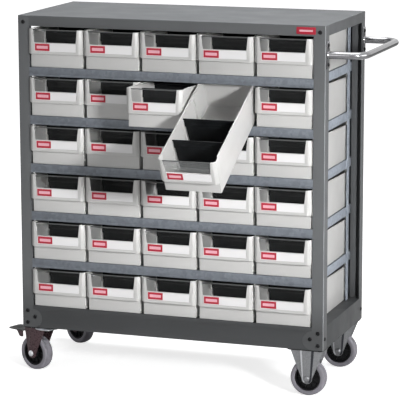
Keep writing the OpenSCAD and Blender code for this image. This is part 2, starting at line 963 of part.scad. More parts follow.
// Pin that carries the brake pedal, across the fork's legs.
module pedal_pin(extra) {
    translate([-pedal_pin_back, leg_out, caster_h - pedal_pin_drop])
        rotate([90, 0, 0])
            cylinder(d = pedal_pin_d + extra, h = 2 * leg_out);
}

// Cheek that stiffens one side of the foot plate; it narrows towards the pedal's end.
module pedal_cheek() {
    rotate([90, 0, 0])
        linear_extrude(height = pedal_t)
            polygon([
                [0, 0],
                [0, -pedal_cheek_h],
                [-pedal_cheek_l / 2, -pedal_cheek_h],
                [-pedal_cheek_l, 0]
            ]);
}

module brake_pedal(end) {
    barrel_d = pedal_pin_d + 2 * pedal_t;
    inner_w = leg_gap - 2 * seat;
    arm = pin_margin + 2 * pedal_t;
    plate_l = pedal_reach - pedal_pin_back - arm;
    shoe_x = pedal_t / 2 + seat;
    shoe_z = axle_z + sqrt(pow(wheel_r, 2) - pow(pedal_pin_back + shoe_x - trail, 2)) + shoe_gap;
    shoe_h = caster_h - pedal_pin_drop - shoe_z;
    color("dimgray")
        at_swivel(end)
            translate([-pedal_pin_back, 0, caster_h - pedal_pin_drop])
                difference() {
                    union() {
                        rotate([90, 0, 0])
                            translate([0, 0, -inner_w / 2])
                                cylinder(d = barrel_d, h = inner_w);
                        translate([-arm - plate_l, -pedal_w / 2, -pedal_t])
                            cube([plate_l, pedal_w, pedal_t]);
                        translate([-arm - eps, -inner_w / 2, -pedal_t])
                            cube([arm + eps, inner_w, pedal_t]);
                        for (m = [0, 1])
                            mirror([0, m, 0])
                                translate([-arm, pedal_w / 2, -pedal_t / 2])
                                    pedal_cheek();
                        translate([-shoe_x - shoe_l, -shoe_w / 2, -shoe_h])
                            cube([shoe_l, shoe_w, shoe_h]);
                    }
                    rotate([90, 0, 0])
                        translate([0, 0, -inner_w])
                            cylinder(d = pedal_pin_d + 2 * run_fit, h = 2 * inner_w);
                }
}

// Black hub with a web, a rim and a boss, and a grey rubber tyre round it. The axle runs along Y.
module wheel_shape() {
    rotate([90, 0, 0]) {
        color("black")
            rotate_extrude()
                polygon([
                    [axle_d / 2 + run_fit, -boss_w / 2],
                    [boss_d / 2, -boss_w / 2],
                    [boss_d / 2, -web_t / 2],
                    [hub_r - rim_t, -web_t / 2],
                    [hub_r - rim_t, -hub_w / 2],
                    [hub_r, -hub_w / 2],
                    [hub_r, hub_w / 2],
                    [hub_r - rim_t, hub_w / 2],
                    [hub_r - rim_t, web_t / 2],
                    [boss_d / 2, web_t / 2],
                    [boss_d / 2, boss_w / 2],
                    [axle_d / 2 + run_fit, boss_w / 2]
                ]);
        color("darkgray")
            rotate_extrude()
                polygon([
                    [hub_r + run_fit, -hub_w / 2],
                    [hub_r + tyre_lip, -tyre_w / 2],
                    [wheel_r - tyre_bevel, -tyre_w / 2],
                    [wheel_r - tyre_bevel / 3, -tyre_w / 2 + tyre_bevel / 3],
                    [wheel_r, -tyre_w / 2 + tyre_bevel],
                    [wheel_r, tyre_w / 2 - tyre_bevel],
                    [wheel_r - tyre_bevel / 3, tyre_w / 2 - tyre_bevel / 3],
                    [wheel_r - tyre_bevel, tyre_w / 2],
                    [hub_r + tyre_lip, tyre_w / 2],
                    [hub_r + run_fit, hub_w / 2]
                ]);
    }
}

module wheel(i) {
    end = i % 2 == 0 ? -1 : 1;
    if (i < 2)
        at_swivel(end)
            translate([-trail, 0, axle_z])
                wheel_shape();
    else
        at_caster(1, end)
            translate([0, 0, axle_z])
                wheel_shape();
}

for (cell = drawer_cells)
    drawer(cell);
hung_drawer_window();
hung_drawer_label();
hung_drawer_dividers();
top_panel();
name_plate();
post(-1, -1);  // post_front_left
post(1, -1);  // post_front_right
post(-1, 1);  // post_rear_left
post(1, 1);  // post_rear_right
base_frame();
back_panel();
for (r = [1:rows - 1])
    shelf(r);
shelf_uprights();
frame_bolts();
push_handle();
fixed_forks();
fixed_axles();
swivel_plates();
swivel_fork(-1);  // swivel_fork_front
swivel_fork(1);  // swivel_fork_rear
brake_pedal(-1);  // brake_pedal_front
brake_pedal(1);  // brake_pedal_rear
for (i = [0:3])
    wheel(i);
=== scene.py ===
"""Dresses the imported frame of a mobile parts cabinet: sheet-metal body, drawers, handle and casters.

All lengths are metres in the frame's own axes: +Z up, drawer fronts face -Y, the push handle is at +X.
"""

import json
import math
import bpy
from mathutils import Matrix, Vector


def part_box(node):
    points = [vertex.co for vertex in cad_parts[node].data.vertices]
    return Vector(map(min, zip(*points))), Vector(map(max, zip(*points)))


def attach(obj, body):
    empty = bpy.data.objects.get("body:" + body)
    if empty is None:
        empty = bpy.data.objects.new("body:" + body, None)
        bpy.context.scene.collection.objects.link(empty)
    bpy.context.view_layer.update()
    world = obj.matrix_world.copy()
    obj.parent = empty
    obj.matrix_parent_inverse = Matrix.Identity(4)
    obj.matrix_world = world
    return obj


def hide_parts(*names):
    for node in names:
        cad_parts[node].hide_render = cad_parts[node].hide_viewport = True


bl_info = {
    "name": "Mobile Parts Cabinet",
    "version": (1, 0, 0),
    "blender": (4, 5, 0),
    "location": "View3D > Sidebar > Cabinet",
    "description": "Builds the drawers, body, handle, casters and finishes of a mobile parts cabinet",
    "category": "Add Mesh",
}

from itertools import product

import bmesh
import bpy
from bpy.props import FloatProperty, FloatVectorProperty, PointerProperty
from mathutils import Matrix, Vector

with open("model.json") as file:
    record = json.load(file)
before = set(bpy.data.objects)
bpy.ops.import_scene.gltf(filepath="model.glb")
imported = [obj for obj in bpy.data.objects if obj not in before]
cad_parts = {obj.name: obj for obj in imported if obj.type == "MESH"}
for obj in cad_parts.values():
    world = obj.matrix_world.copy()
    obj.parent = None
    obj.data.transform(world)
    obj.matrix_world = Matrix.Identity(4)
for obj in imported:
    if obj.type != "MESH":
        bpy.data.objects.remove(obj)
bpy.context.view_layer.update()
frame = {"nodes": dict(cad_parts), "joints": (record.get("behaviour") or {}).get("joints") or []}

ROWS = 6
COLS = 5
HUNG = (2, 4)
HUNG_TURN = math.radians(27.4)
MM = 0.001

# Places that the frame's own nodes give.
BODY_LOW, BODY_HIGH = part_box("top_panel")
HALF_W = BODY_HIGH.x
HALF_D = BODY_HIGH.y
TOP_Z = BODY_HIGH.z
LIP_Z = BODY_LOW.z
BODY_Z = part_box("base_frame")[0].z
DECK_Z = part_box("base_frame")[1].z
DRAWER_LOW, DRAWER_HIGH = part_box("drawer_r6_c1")
FRONT_HW = (DRAWER_HIGH.x - DRAWER_LOW.x) / 2
TRAY_H = DRAWER_HIGH.z - DRAWER_LOW.z
TRAY_LEN = 378 * MM
PANEL_PROJ = DRAWER_HIGH.y - DRAWER_LOW.y - TRAY_LEN

# Sizes of a drawer that several of its pieces share: OVERHANG to SEAT of its front, then of its inside.
OVERHANG = 3.5 * MM
SHOULDER = 18 * MM
CORNER_W = 9 * MM
CORNER_D = 8 * MM
EAR_LAP = 7.5 * MM
EAR_LEAN = 2 * MM
PANEL_Z = 37 * MM
PANEL_SIDE_Z = 39.5 * MM
PANEL_T = 2.4 * MM
SILL_Z = 69.5 * MM
WINDOW_TOP = 105 * MM
WINDOW_HW = FRONT_HW - CORNER_W - EAR_LAP
SEAT = 0.3 * MM
DIVIDER_PLACES = [95 * MM, 190 * MM]
EMPTY_PLACE = 285 * MM
REAR_RIM = 96 * MM
RIB_TOP = 88 * MM
PAST = 10 * MM  # how far a cutting tool reaches past what it cuts

# Sizes of the push handle and of the casters.
HANDLE_Y = HALF_D - 17 * MM
HANDLE_Z = TOP_Z - 79 * MM
CASTER_X = HALF_W - 52 * MM
CASTER_Y = HALF_D - 43 * MM
PLATE_Z = BODY_Z - 3 * MM
AXLE_Z = 50 * MM
TRAIL = 36 * MM
WHEEL_R = 50 * MM
LEG_IN = 18.8 * MM
FORK_T = 3 * MM
LEG_OUT = LEG_IN + FORK_T
RIB_OUT = 3 * MM
RIB_FACE = 0.62  # width of a rib's flat face, as a share of the rib
PIN_X = -54 * MM
PIN_Z = BODY_Z - 23 * MM


# Modelling


FINISHES = {}
SMOOTH_ANGLE = 35


def deselect():
    """Leaves edit mode and selects nothing."""
    if bpy.context.mode != "OBJECT":
        bpy.ops.object.mode_set(mode="OBJECT")
    bpy.ops.object.select_all(action="DESELECT")


def pick(piece):
    """Selects one piece only and makes it active."""
    deselect()
    piece.select_set(True)
    bpy.context.view_layer.objects.active = piece


def enter(piece):
    """Goes into edit mode with the whole mesh selected."""
    pick(piece)
    bpy.ops.object.mode_set(mode="EDIT")
    bpy.ops.mesh.select_mode(type="VERT")
    bpy.ops.mesh.select_all(action="SELECT")


def leave():
    bpy.ops.object.mode_set(mode="OBJECT")


def face_out(piece, merge=1e-6):
    """Merges doubled corners and turns every face outwards."""
    enter(piece)
    bpy.ops.mesh.remove_doubles(threshold=merge)
    bpy.ops.mesh.dissolve_degenerate(threshold=1e-7)
    bpy.ops.mesh.normals_make_consistent(inside=False)
    leave()


def modify(piece, kind, **settings):
    """Adds a modifier, sets it and applies it."""
    pick(piece)
    bpy.ops.object.modifier_add(type=kind)
    modifier = piece.modifiers[-1]
    for key, value in settings.items():
        setattr(modifier, key, value)
    bpy.ops.object.modifier_apply(modifier=modifier.name)


def soften(piece, width, segments=2, angle=30):
    """Rounds the sharp edges of a whole piece; the width is in millimetres."""
    modify(piece, "BEVEL", width=width * MM, segments=segments, limit_method="ANGLE",
        angle_limit=math.radians(angle), use_clamp_overlap=True)


def cut(piece, tool, operation="DIFFERENCE"):
    """Carves, adds or keeps the volume of a tool, and deletes the tool."""
    modify(piece, "BOOLEAN", operation=operation, object=tool, solver="EXACT")
    bpy.data.objects.remove(tool)


def fuse(piece, tool):
    cut(piece, tool, "UNION")


def join(name, parts):
    """Makes one object of several, without merging their volumes."""
    deselect()
    for part in parts:
        part.select_set(True)
    bpy.context.view_layer.objects.active = parts[0]
    bpy.ops.object.join()
    parts[0].name = name
    return parts[0]


def added(name):
    """Names the object that was just added and moves its place into its mesh."""
    piece = bpy.context.object
    piece.name = name
    bpy.ops.object.transform_apply(location=True, rotation=True, scale=True)
    return piece


def block(name, low, high):
    """A box between two corners, its place in its mesh."""
    deselect()
    low, high = (Vector(map(end, low, high)) for end in (min, max))
    bpy.ops.mesh.primitive_cube_add(size=1, location=(low + high) / 2, scale=high - low)
    return added(name)


def fillet(points, radius, steps=4):
    """Corners of an outline, each replaced by an arc. One radius for all or one each, in millimetres."""
    out = []
    count = len(points)
    for i, point in enumerate(points):
        r = (radius[i] if isinstance(radius, list) else radius) * MM
        here = Vector(point)
        if r <= 0:
            out.append(tuple(here))
            continue
        back = (Vector(points[i - 1]) - here).normalized()
        on = (Vector(points[(i + 1) % count]) - here).normalized()
        half = back.angle(on) / 2
        reach = r / math.tan(half)
        middle = here + (back + on).normalized() * (r / math.sin(half))
        start = here + back * reach - middle
        end = here + on * reach - middle
        turn = start.angle_signed(end)
        for k in range(steps + 1):
            a = -turn * k / steps
            spoke = Vector((start.x * math.cos(a) - start.y * math.sin(a),
                start.x * math.sin(a) + start.y * math.cos(a)))
            out.append(tuple(middle + spoke))
    return out


# Matrices that place the pieces.


def move(x, y, z):
    return Matrix.Translation((x, y, z))


def spin(angle, axis):
    return Matrix.Rotation(angle, 4, axis)


# From the flat outline to the plane across each axis.
PLANES = {
    "Z": Matrix(((1, 0, 0, 0), (0, 1, 0, 0), (0, 0, 1, 0), (0, 0, 0, 1))),
    "X": Matrix(((0, 0, 1, 0), (1, 0, 0, 0), (0, 1, 0, 0), (0, 0, 0, 1))),
    "Y": Matrix(((1, 0, 0, 0), (0, 0, 1, 0), (0, 1, 0, 0), (0, 0, 0, 1))),
}


def outline(name, points, fill="NGON"):
    """A flat ring of corners, from a circle whose corners are moved to the points."""
    deselect()
    bpy.ops.mesh.primitive_circle_add(vertices=len(points), fill_type=fill)
    piece = added(name)
    for corner, (a, b) in zip(piece.data.vertices, points):
        corner.co = (a, b, 0)
    return piece


def prism(name, points, low, high, axis="Z"):
    """An outline extruded along an axis between two heights."""
    low, high = sorted((low, high))
    piece = outline(name, points)
    enter(piece)
    bpy.ops.mesh.extrude_region_move(TRANSFORM_OT_translate={"value": (0, 0, high - low)})
    leave()
    piece.data.transform(PLANES[axis] @ move(0, 0, low))
    face_out(piece)
    return piece


def turned(name, profile, steps=48, axis="Z"):
    """A closed profile of (radius, height) points, spun a full turn about an axis."""
    piece = outline(name, profile, fill="NOTHING")
    piece.data.transform(PLANES["Y"])
    enter(piece)
    bpy.ops.mesh.spin(steps=steps, angle=math.tau, center=(0, 0, 0), axis=(0, 0, 1))
    leave()
    piece.data.transform(PLANES[axis])
    face_out(piece, merge=1e-5)
    return piece


def rect(left, low, right, high):
    """Corners of a rectangle. With left at zero it is the profile of a plain rod."""
    return [(left, low), (right, low), (right, high), (left, high)]


def rod(name, radius, low, high, steps, axis="Z"):
    """A plain rod, six-sided with six steps."""
    return turned(name, rect(0, low, radius, high), steps, axis)


def slab(name, low, high, radius):
    """A plate that faces -Y, with round corners."""
    return prism(name, fillet(rect(low.x, low.z, high.x, high.z), radius), low.y, high.y, "Y")


def shift(piece, x, y, z):
    piece.data.transform(move(x, y, z))


def lies_at(a, b, axis, value, slack=1e-5):
    return abs(a[axis] - value) < slack and abs(b[axis] - value) < slack


def round_edges(piece, width, segments, wanted):
    """Bevels the edges whose two ends pass the test; the width is in millimetres."""
    enter(piece)
    bpy.ops.mesh.select_mode(type="EDGE")
    bpy.ops.mesh.select_all(action="DESELECT")
    mesh = bmesh.from_edit_mesh(piece.data)
    for edge in mesh.edges:
        edge.select = wanted(edge.verts[0].co, edge.verts[1].co)
    bmesh.update_edit_mesh(piece.data)
    bpy.ops.mesh.bevel(offset=width * MM, segments=segments, affect="EDGES", clamp_overlap=True)
    leave()


def dressed(node, name):
    """A copy of a frame node with its loose triangles merged back into plain faces."""
    source = frame["nodes"][node]
    piece = source.copy()
    piece.data = source.data.copy()
    for key in list(piece.keys()):
        del piece[key]
    piece.parent = None
    piece.matrix_world = Matrix.Identity(4)
    piece.name = name
    piece.data.materials.clear()
    bpy.context.scene.collection.objects.link(piece)
    enter(piece)
    bpy.ops.mesh.remove_doubles(threshold=2e-6)
    bpy.ops.mesh.dissolve_limited(angle_limit=math.radians(0.5))
    leave()
    return piece


def stamp(model, name, place):
    """A copy of a model with its own mesh, moved to its place."""
    twin = model.copy()
    twin.data = model.data.copy()
    twin.data.transform(place)
    if place.determinant() < 0:
        twin.data.flip_normals()
    twin.name = name
    bpy.context.scene.collection.objects.link(twin)
    return twin


def discard(*models):
    """Deletes models once their copies are made."""
    for model in models:
        bpy.data.objects.remove(model)


def smooth(piece, angle):
    pick(piece)
    bpy.ops.object.shade_smooth_by_angle(angle=math.radians(angle))


def paint(piece, names, choose=None):
    """Gives a piece its finishes; choose returns the number of the finish of a face."""
    piece.data.materials.clear()
    for name in names:
        piece.data.materials.append(FINISHES[name])
    if choose:
        for face in piece.data.polygons:
            face.material_index = int(choose(face))


def complete(piece, finish, nodes=(), body="cabinet", angle=SMOOTH_ANGLE):
    """Shades a piece, gives it its finish, unless it has its own, and fixes it to the frame."""
    if angle:
        smooth(piece, angle)
    if finish:
        paint(piece, [finish])
    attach(piece, body)
    if nodes:
        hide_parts(*nodes)


# Sizes and colours


def length(name, text, millimetres):
    return FloatProperty(name=name, description=text, default=millimetres * MM, unit="LENGTH")


def tint(name, text, value):
    return FloatVectorProperty(name=name, description=text, subtype="COLOR", default=value, min=0, max=1)


class CabinetSizes(bpy.types.PropertyGroup):
    """Sizes that shape the dressed pieces."""

    tray_wall: length("Tray wall", "Wall thickness of a drawer tray", 2)
    tray_fold: length("Tray rounding", "Rounding of a tray's outer edges", 1.4)
    sheet: length("Sheet", "Thickness of the painted sheet", 1.2)
    sheet_fold: length("Sheet fold", "Outer radius of a fold in painted sheet", 2)
    window: length("Window", "Thickness of a clear drawer window", 1.5)
    divider: length("Divider", "Thickness of a drawer divider", 1.8)
    handle_tube: length("Handle tube", "Diameter of the push handle's tube", 19)


class CabinetColours(bpy.types.PropertyGroup):
    """Colours of the finishes, as linear values."""

    body: tint("Body", "Dark grey paint of the body", (0.098, 0.102, 0.106))
    tray: tint("Drawers", "Light grey plastic of the drawers", (0.47, 0.467, 0.46))
    divider: tint("Dividers", "Black plastic of the dividers", (0.008, 0.009, 0.010))
    galvanised: tint("Shelves", "Galvanised steel of the shelves", (0.135, 0.150, 0.172))
    tag: tint("Tags", "Red of the colour tags and the plate", (0.36, 0.004, 0.024))
    tyre: tint("Tyres", "Grey rubber of the tyres", (0.218, 0.210, 0.236))


# Materials


def new_group(name, inputs, outputs):
    """An empty node group with named sockets: (name, socket type, default)."""
    tree = bpy.data.node_groups.new(name, "ShaderNodeTree")
    for label, kind, default in inputs:
        socket = tree.interface.new_socket(name=label, in_out="INPUT", socket_type="NodeSocket" + kind)
        socket.default_value = default
    for label, kind in outputs:
        tree.interface.new_socket(name=label, in_out="OUTPUT", socket_type="NodeSocket" + kind)
    return tree, tree.nodes.new("NodeGroupInput"), tree.nodes.new("NodeGroupOutput")


def set_inputs(node, **values):
    """Sets plain values of a node's inputs; an underscore stands for a space in a name."""
    for key, value in values.items():
        node.inputs[key.replace("_", " ")].default_value = value


def add_node(tree, kind, operation=None, **values):
    node = tree.nodes.new("ShaderNode" + kind)
    if operation:
        node.operation = operation
    set_inputs(node, **values)
    return node


def add_colour_mix(tree):
    mix = add_node(tree, "Mix")
    mix.data_type = "RGBA"
    return mix


def wire(tree, *links):
    """Each link is a node, its output, the next node and its input."""
    for source, output, target, entry in links:
        tree.links.new(source.outputs[output], target.inputs[entry])


def mottle_group():
    """Slow change between two tones over a surface."""
    tree, start, end = new_group("Mottle",
        [("Tone", "Color", (0.5, 0.5, 0.5, 1)), ("Second Tone", "Color", (0.4, 0.4, 0.4, 1)),
        ("Scale", "Float", 6.0)], [("Color", "Color")])
    place = add_node(tree, "TexCoord")
    noise = add_node(tree, "TexNoise", Detail=5)
    ramp = add_node(tree, "MapRange", From_Min=0.35, From_Max=0.65)
    mix = add_colour_mix(tree)
    wire(tree, (place, "Object", noise, "Vector"), (start, "Scale", noise, "Scale"),
        (noise, "Fac", ramp, "Value"), (ramp, "Result", mix, "Factor"), (start, "Tone", mix, "A"),
        (start, "Second Tone", mix, "B"), (mix, "Result", end, "Color"))
    return tree


def grain_group():
    """Fine even relief of paint or moulded plastic, as a height and as a roughness."""
    tree, start, end = new_group("Fine Grain",
        [("Scale", "Float", 900.0), ("Smoothest", "Float", 0.35), ("Roughest", "Float", 0.5)],
        [("Height", "Float"), ("Roughness", "Float")])
    place = add_node(tree, "TexCoord")
    fine = add_node(tree, "TexNoise", Detail=2)
    broad = add_node(tree, "TexNoise", Scale=14, Detail=6)
    spread = add_node(tree, "MapRange", From_Min=0.3, From_Max=0.7)
    wire(tree, (place, "Object", fine, "Vector"), (place, "Object", broad, "Vector"),
        (start, "Scale", fine, "Scale"), (broad, "Fac", spread, "Value"),
        (start, "Smoothest", spread, "To Min"), (start, "Roughest", spread, "To Max"),
        (fine, "Fac", end, "Height"), (spread, "Result", end, "Roughness"))
    return tree


def spangle_group():
    """Crystals of a zinc coat: one random value for each crystal."""
    tree, start, end = new_group("Spangle",
        [("Scale", "Float", 120.0), ("Dark Crystal", "Color", (0.2, 0.2, 0.2, 1)),
        ("Bright Crystal", "Color", (0.4, 0.4, 0.4, 1))], [("Color", "Color"), ("Value", "Float")])
    place = add_node(tree, "TexCoord")
    cells = add_node(tree, "TexVoronoi")
    split = add_node(tree, "SeparateColor")
    mix = add_colour_mix(tree)
    wire(tree, (place, "Object", cells, "Vector"), (start, "Scale", cells, "Scale"),
        (cells, "Color", split, "Color"), (split, "Red", mix, "Factor"), (start, "Dark Crystal", mix, "A"),
        (start, "Bright Crystal", mix, "B"), (mix, "Result", end, "Color"), (split, "Green", end, "Value"))
    return tree


GROUPS = {}


def place_group(tree, name, **values):
    """A shared node group, built the first time it is asked for."""
    makers = {"Mottle": mottle_group, "Fine Grain": grain_group, "Spangle": spangle_group}
    if name not in GROUPS:
        GROUPS[name] = makers[name]()
    node = add_node(tree, "Group")
    node.node_tree = GROUPS[name]
    set_inputs(node, **values)
    return node


def start_finish(name, colour, metallic, roughness):
    """A material with its Principled shader and the shader's plain values."""
    material = bpy.data.materials.new(name)
    material.use_nodes = True
    shader = material.node_tree.nodes["Principled BSDF"]
    set_inputs(shader, Base_Color=(*colour, 1), Metallic=metallic, Roughness=roughness)
    FINISHES[name] = material
    return material.node_tree, shader


def add_relief(tree, shader, grain, strength, distance):
    bump = add_node(tree, "Bump", Strength=strength, Distance=distance)
    wire(tree, (grain, "Height", bump, "Height"), (bump, "Normal", shader, "Normal"))


def shade_of(colour, factor):
    return tuple(min(1.0, c * factor) for c in colour)


def grained_finish(name, colour, roughness, grain_scale, relief, variation=0.93, specular=0.5,
        mottle_scale=5.0, spread=0.08):
    """Paint or plastic: a slightly uneven tone, an uneven gloss and a fine relief."""
    tree, shader = start_finish(name, colour, 0.0, roughness)
    set_inputs(shader, Specular_IOR_Level=specular)
    tone = place_group(tree, "Mottle", Tone=(*colour, 1), Second_Tone=(*shade_of(colour, variation), 1),
        Scale=mottle_scale)
    grain = place_group(tree, "Fine Grain", Scale=grain_scale, Smoothest=roughness - spread,
        Roughest=roughness + spread)
    wire(tree, (tone, "Color", shader, "Base Color"), (grain, "Roughness", shader, "Roughness"))
    add_relief(tree, shader, grain, relief, 0.4 * MM)
    return tree, shader


def shade_by_height(tree, shader, low, high, factor):
    """Darkens a finish below a height as painted shade, with an even passage from low to high."""
    tone = shader.inputs["Base Color"].links[0].from_node
    spot = add_node(tree, "TexCoord")
    parts = add_node(tree, "SeparateXYZ")
    rise = add_node(tree, "MapRange", From_Min=low, From_Max=high, To_Min=factor, To_Max=1.0)
    scaled = add_node(tree, "VectorMath", "SCALE")
    wire(tree, (spot, "Object", parts, "Vector"), (parts, "Z", rise, "Value"), (tone, "Color", scaled, 0),
        (rise, "Result", scaled, "Scale"), (scaled, "Vector", shader, "Base Color"))


def zinc_finish(name, dark, bright, scale, roughness, spread, metallic):
    """Galvanised or zinc-plated steel with crystals of different tone and gloss."""
    tree, shader = start_finish(name, bright, metallic, roughness)
    crystals = place_group(tree, "Spangle", Scale=scale, Dark_Crystal=(*dark, 1), Bright_Crystal=(*bright, 1))
    gloss = add_node(tree, "MapRange", To_Min=roughness - spread, To_Max=roughness + spread)
    grain = place_group(tree, "Fine Grain", Scale=500.0)
    wire(tree, (crystals, "Color", shader, "Base Color"), (crystals, "Value", gloss, "Value"),
        (gloss, "Result", shader, "Roughness"))
    add_relief(tree, shader, grain, 0.12, 0.3 * MM)


def make_finishes(colours):
    """Every material of the cabinet; FINISHES holds them by name."""
    body = tuple(colours.body)
    black = (0.008, 0.008, 0.009)
    # Name, colour, roughness, scale of the grain, its relief, second tone, specular, scale of the mottle.
    for row in (
        ("body_paint", body, 0.5, 700.0, 0.10, 0.92, 0.4),
        # Lighter copy of the body paint with little gloss, for the top face: painted light from above.
        ("top_painted_light", shade_of(body, 1.75), 0.6, 700.0, 0.10, 0.92, 0.04),
        # Pale copy of the body paint for the posts' outer folds: a painted highlight along the corners.
        ("edge_painted_highlight", shade_of(body, 3.0), 0.4, 700.0, 0.10, 0.92, 0.5),
        # Darker copy of the body paint for the base: painted shade where the light falls off towards the
        # floor.
        ("base_painted_shade", shade_of(body, 0.52), 0.5, 700.0, 0.10, 0.9, 0.2),
        ("tray_plastic", tuple(colours.tray), 0.40, 1400.0, 0.06, 0.96, 0.5, 9.0),
        ("divider_plastic", tuple(colours.divider), 0.4, 1100.0, 0.10, 0.6, 0.12, 30.0),
        ("card_paper", (0.66, 0.655, 0.66), 0.6, 2500.0, 0.10, 0.97),
        ("tag_red", tuple(colours.tag), 0.5, 2000.0, 0.04, 0.9),
        ("tag_pale", (0.68, 0.36, 0.41), 0.5, 2000.0, 0.04, 0.95),
        # Black steel of the bolts; on the caster plates it is painted shadow under the base.
        ("black_steel_and_painted_shadow", black, 0.4, 1500.0, 0.12, 0.7, 0.15),
        ("pedal_steel", (0.016, 0.017, 0.018), 0.36, 900.0, 0.12, 0.8, 0.3),
        ("tyre_rubber", tuple(colours.tyre), 0.62, 900.0, 0.22, 0.86, 0.5, 22.0),
        ("hub_plastic", black, 0.45, 1000.0, 0.12, 0.7, 0.2),
        ("frosted_edge", (0.085, 0.088, 0.088), 0.4, 1500.0, 0.04, 0.9, 0.2),
    ):
        grained_finish(*row)
    # The posts' paint darkens towards the floor: painted shade where the light falls off there.
    tree, shader = grained_finish("post_painted_shade", body, 0.5, 700.0, 0.10, 0.92, 0.4)
    shade_by_height(tree, shader, BODY_Z + 50 * MM, BODY_Z + 130 * MM, 0.57)
    tree, shader = grained_finish("clear_plastic", (0.30, 0.31, 0.31), 0.10, 60.0, 0.02, 0.98, 0.08,
        spread=0.03)
    rim = add_node(tree, "Fresnel", IOR=1.45)
    cover = add_node(tree, "MapRange", To_Min=0.0, To_Max=0.5)
    wire(tree, (rim, "Fac", cover, "Value"), (cover, "Result", shader, "Alpha"))
    zinc = tuple(colours.galvanised)
    # Name, dark and bright crystals, their scale, roughness and its spread, metallic.
    for row in (
        ("galvanised_steel", shade_of(zinc, 0.86), shade_of(zinc, 1.12), 110.0, 0.5, 0.06, 0.3),
        # Lighter copy of the galvanised steel: painted light on the shelves' side faces and on the uprights.
        ("galvanised_painted_light", shade_of(zinc, 1.9), shade_of(zinc, 2.4), 110.0, 0.5, 0.06, 0.3),
        ("fork_steel", (0.060, 0.036, 0.040), (0.085, 0.052, 0.058), 300.0, 0.3, 0.05, 0.6),
        ("zinc_plate", (0.22, 0.225, 0.235), (0.28, 0.285, 0.295), 500.0, 0.33, 0.04, 0.9),
        # Lit and shaded copies of the zinc plate: painted light and painted shade.
        ("zinc_lit", (0.62, 0.63, 0.66), (0.74, 0.75, 0.78), 500.0, 0.33, 0.04, 0.9),
        ("zinc_shade", (0.035, 0.036, 0.042), (0.05, 0.052, 0.06), 500.0, 0.33, 0.04, 0.9),
        ("handle_chrome", (0.27, 0.27, 0.28), (0.31, 0.31, 0.32), 350.0, 0.2, 0.04, 1.0),
    ):
        zinc_finish(*row)


# Operators


class FinishesOperator(bpy.types.Operator):
    """Make the paints, metals, plastics and rubbers of the cabinet"""

    bl_idname = "cabinet.make_finishes"
    bl_label = "Finishes"

    def execute(self, context):
        make_finishes(context.scene.cabinet_colours)
        return {"FINISHED"}


class TopOperator(bpy.types.Operator):
    """Build the top panel and its plain red plate"""

    bl_idname = "cabinet.build_top"
    bl_label = "Top panel"

    def execute(self, context):
        sizes = context.scene.cabinet_sizes
        top = dressed("top_panel", "top")

        def corner(a, b):
            return (abs(abs(a.x) - HALF_W) < 1e-4 and abs(abs(a.y) - HALF_D) < 1e-4 and abs(a.x - b.x) < 1e-5
                and abs(a.y - b.y) < 1e-5)

        round_edges(top, sizes.sheet_fold / MM, 3, corner)
        round_edges(top, 1.0, 3, lambda a, b: lies_at(a, b, 2, TOP_Z))
        soften(top, 0.3, 2, 60)
        # Faces that look up take the lighter copy of the paint: painted light from above.
        paint(top, ["body_paint", "top_painted_light"], lambda face: face.normal.z > 0.5)
        complete(top, None, ["top_panel"])

        low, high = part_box("name_plate")
        plate = slab("plate", low, high, 2)
        soften(plate, 0.25)
        strip_on(plate, low, high, 8 * MM, 7 * MM)
        complete(plate, None, ["name_plate"])
        return {"FINISHED"}


def strip_on(plate, low, high, side, rim):
    """Insets a plain pale write-on strip into the front of a red plate."""
    finishes = ["tag_red", "tag_pale"]
    deep = 0.12 * MM
    groove = block("groove", (low.x + side, low.y - MM, low.z + rim),
        (high.x - side, low.y + deep, high.z - rim))
    paint(plate, finishes)
    paint(groove, finishes, lambda face: 1)
    round_edges(groove, 1.2, 3, lambda a, b: abs(a.y - b.y) > MM)
    cut(plate, groove)


def corner_place(sx, sy):
    """From a post's own axes, +X and +Y inwards, to one of the body's corners."""
    return move(sx * HALF_W, sy * HALF_D, BODY_Z) @ Matrix.Diagonal((-sx, -sy, 1, 1))


class PostsOperator(bpy.types.Operator):
    """Build the four folded corner posts"""

    bl_idname = "cabinet.build_posts"
    bl_label = "Corner posts"

    def execute(self, context):
        t = context.scene.cabinet_sizes.sheet
        fold = context.scene.cabinet_sizes.sheet_fold
        face_w, side_w, tab_r = 32.5 * MM, 34 * MM, 26 * MM
        return_d, return_w, lip_w = 18 * MM, 8 * MM, 17 * MM
        inner = (DECK_Z - BODY_Z, LIP_Z - BODY_Z)
        angle = [(0, 0), (face_w, 0), (face_w, t), (t, t), (t, side_w), (0, side_w)]
        model = prism("post", fillet(angle, [fold / MM, 0, 0, (fold - t) / MM, 0, 0]), 0, TOP_Z - t - BODY_Z)
        back = [(face_w - return_w, 0), (face_w, 0), (face_w, return_d), (face_w - t, return_d),
            (face_w - t, t), (face_w - return_w, t)]
        fuse(model, prism("return", fillet(back, [0, 0, 0.4, 0.4, 0.6, 0]), *inner))
        lip = rect(face_w - lip_w, return_d - t, face_w - t / 2, return_d)
        fuse(model, prism("lip", fillet(lip, [0.4, 0, 0, 0.4]), *inner))
        tab = rod("tab", tab_r, 0, t, 64, "Y")
        shift(tab, face_w, 0, tab_r)
        fuse(model, tab)
        soften(model, 0.3, 2, 50)
        # Faces of the outer fold take the pale copy of the paint: a painted highlight along the corner.
        paint(model, ["post_painted_shade", "edge_painted_highlight"],
            lambda face: max(face.center.xy) < fold and max(face.normal.xy) < -0.2)
        for name, sx, sy in (("front_left", -1, -1), ("front_right", 1, -1), ("rear_left", -1, 1),
                ("rear_right", 1, 1)):
            post = stamp(model, "corner_post_" + name, corner_place(sx, sy))
            complete(post, None, ["post_" + name])
        discard(model)
        return {"FINISHED"}


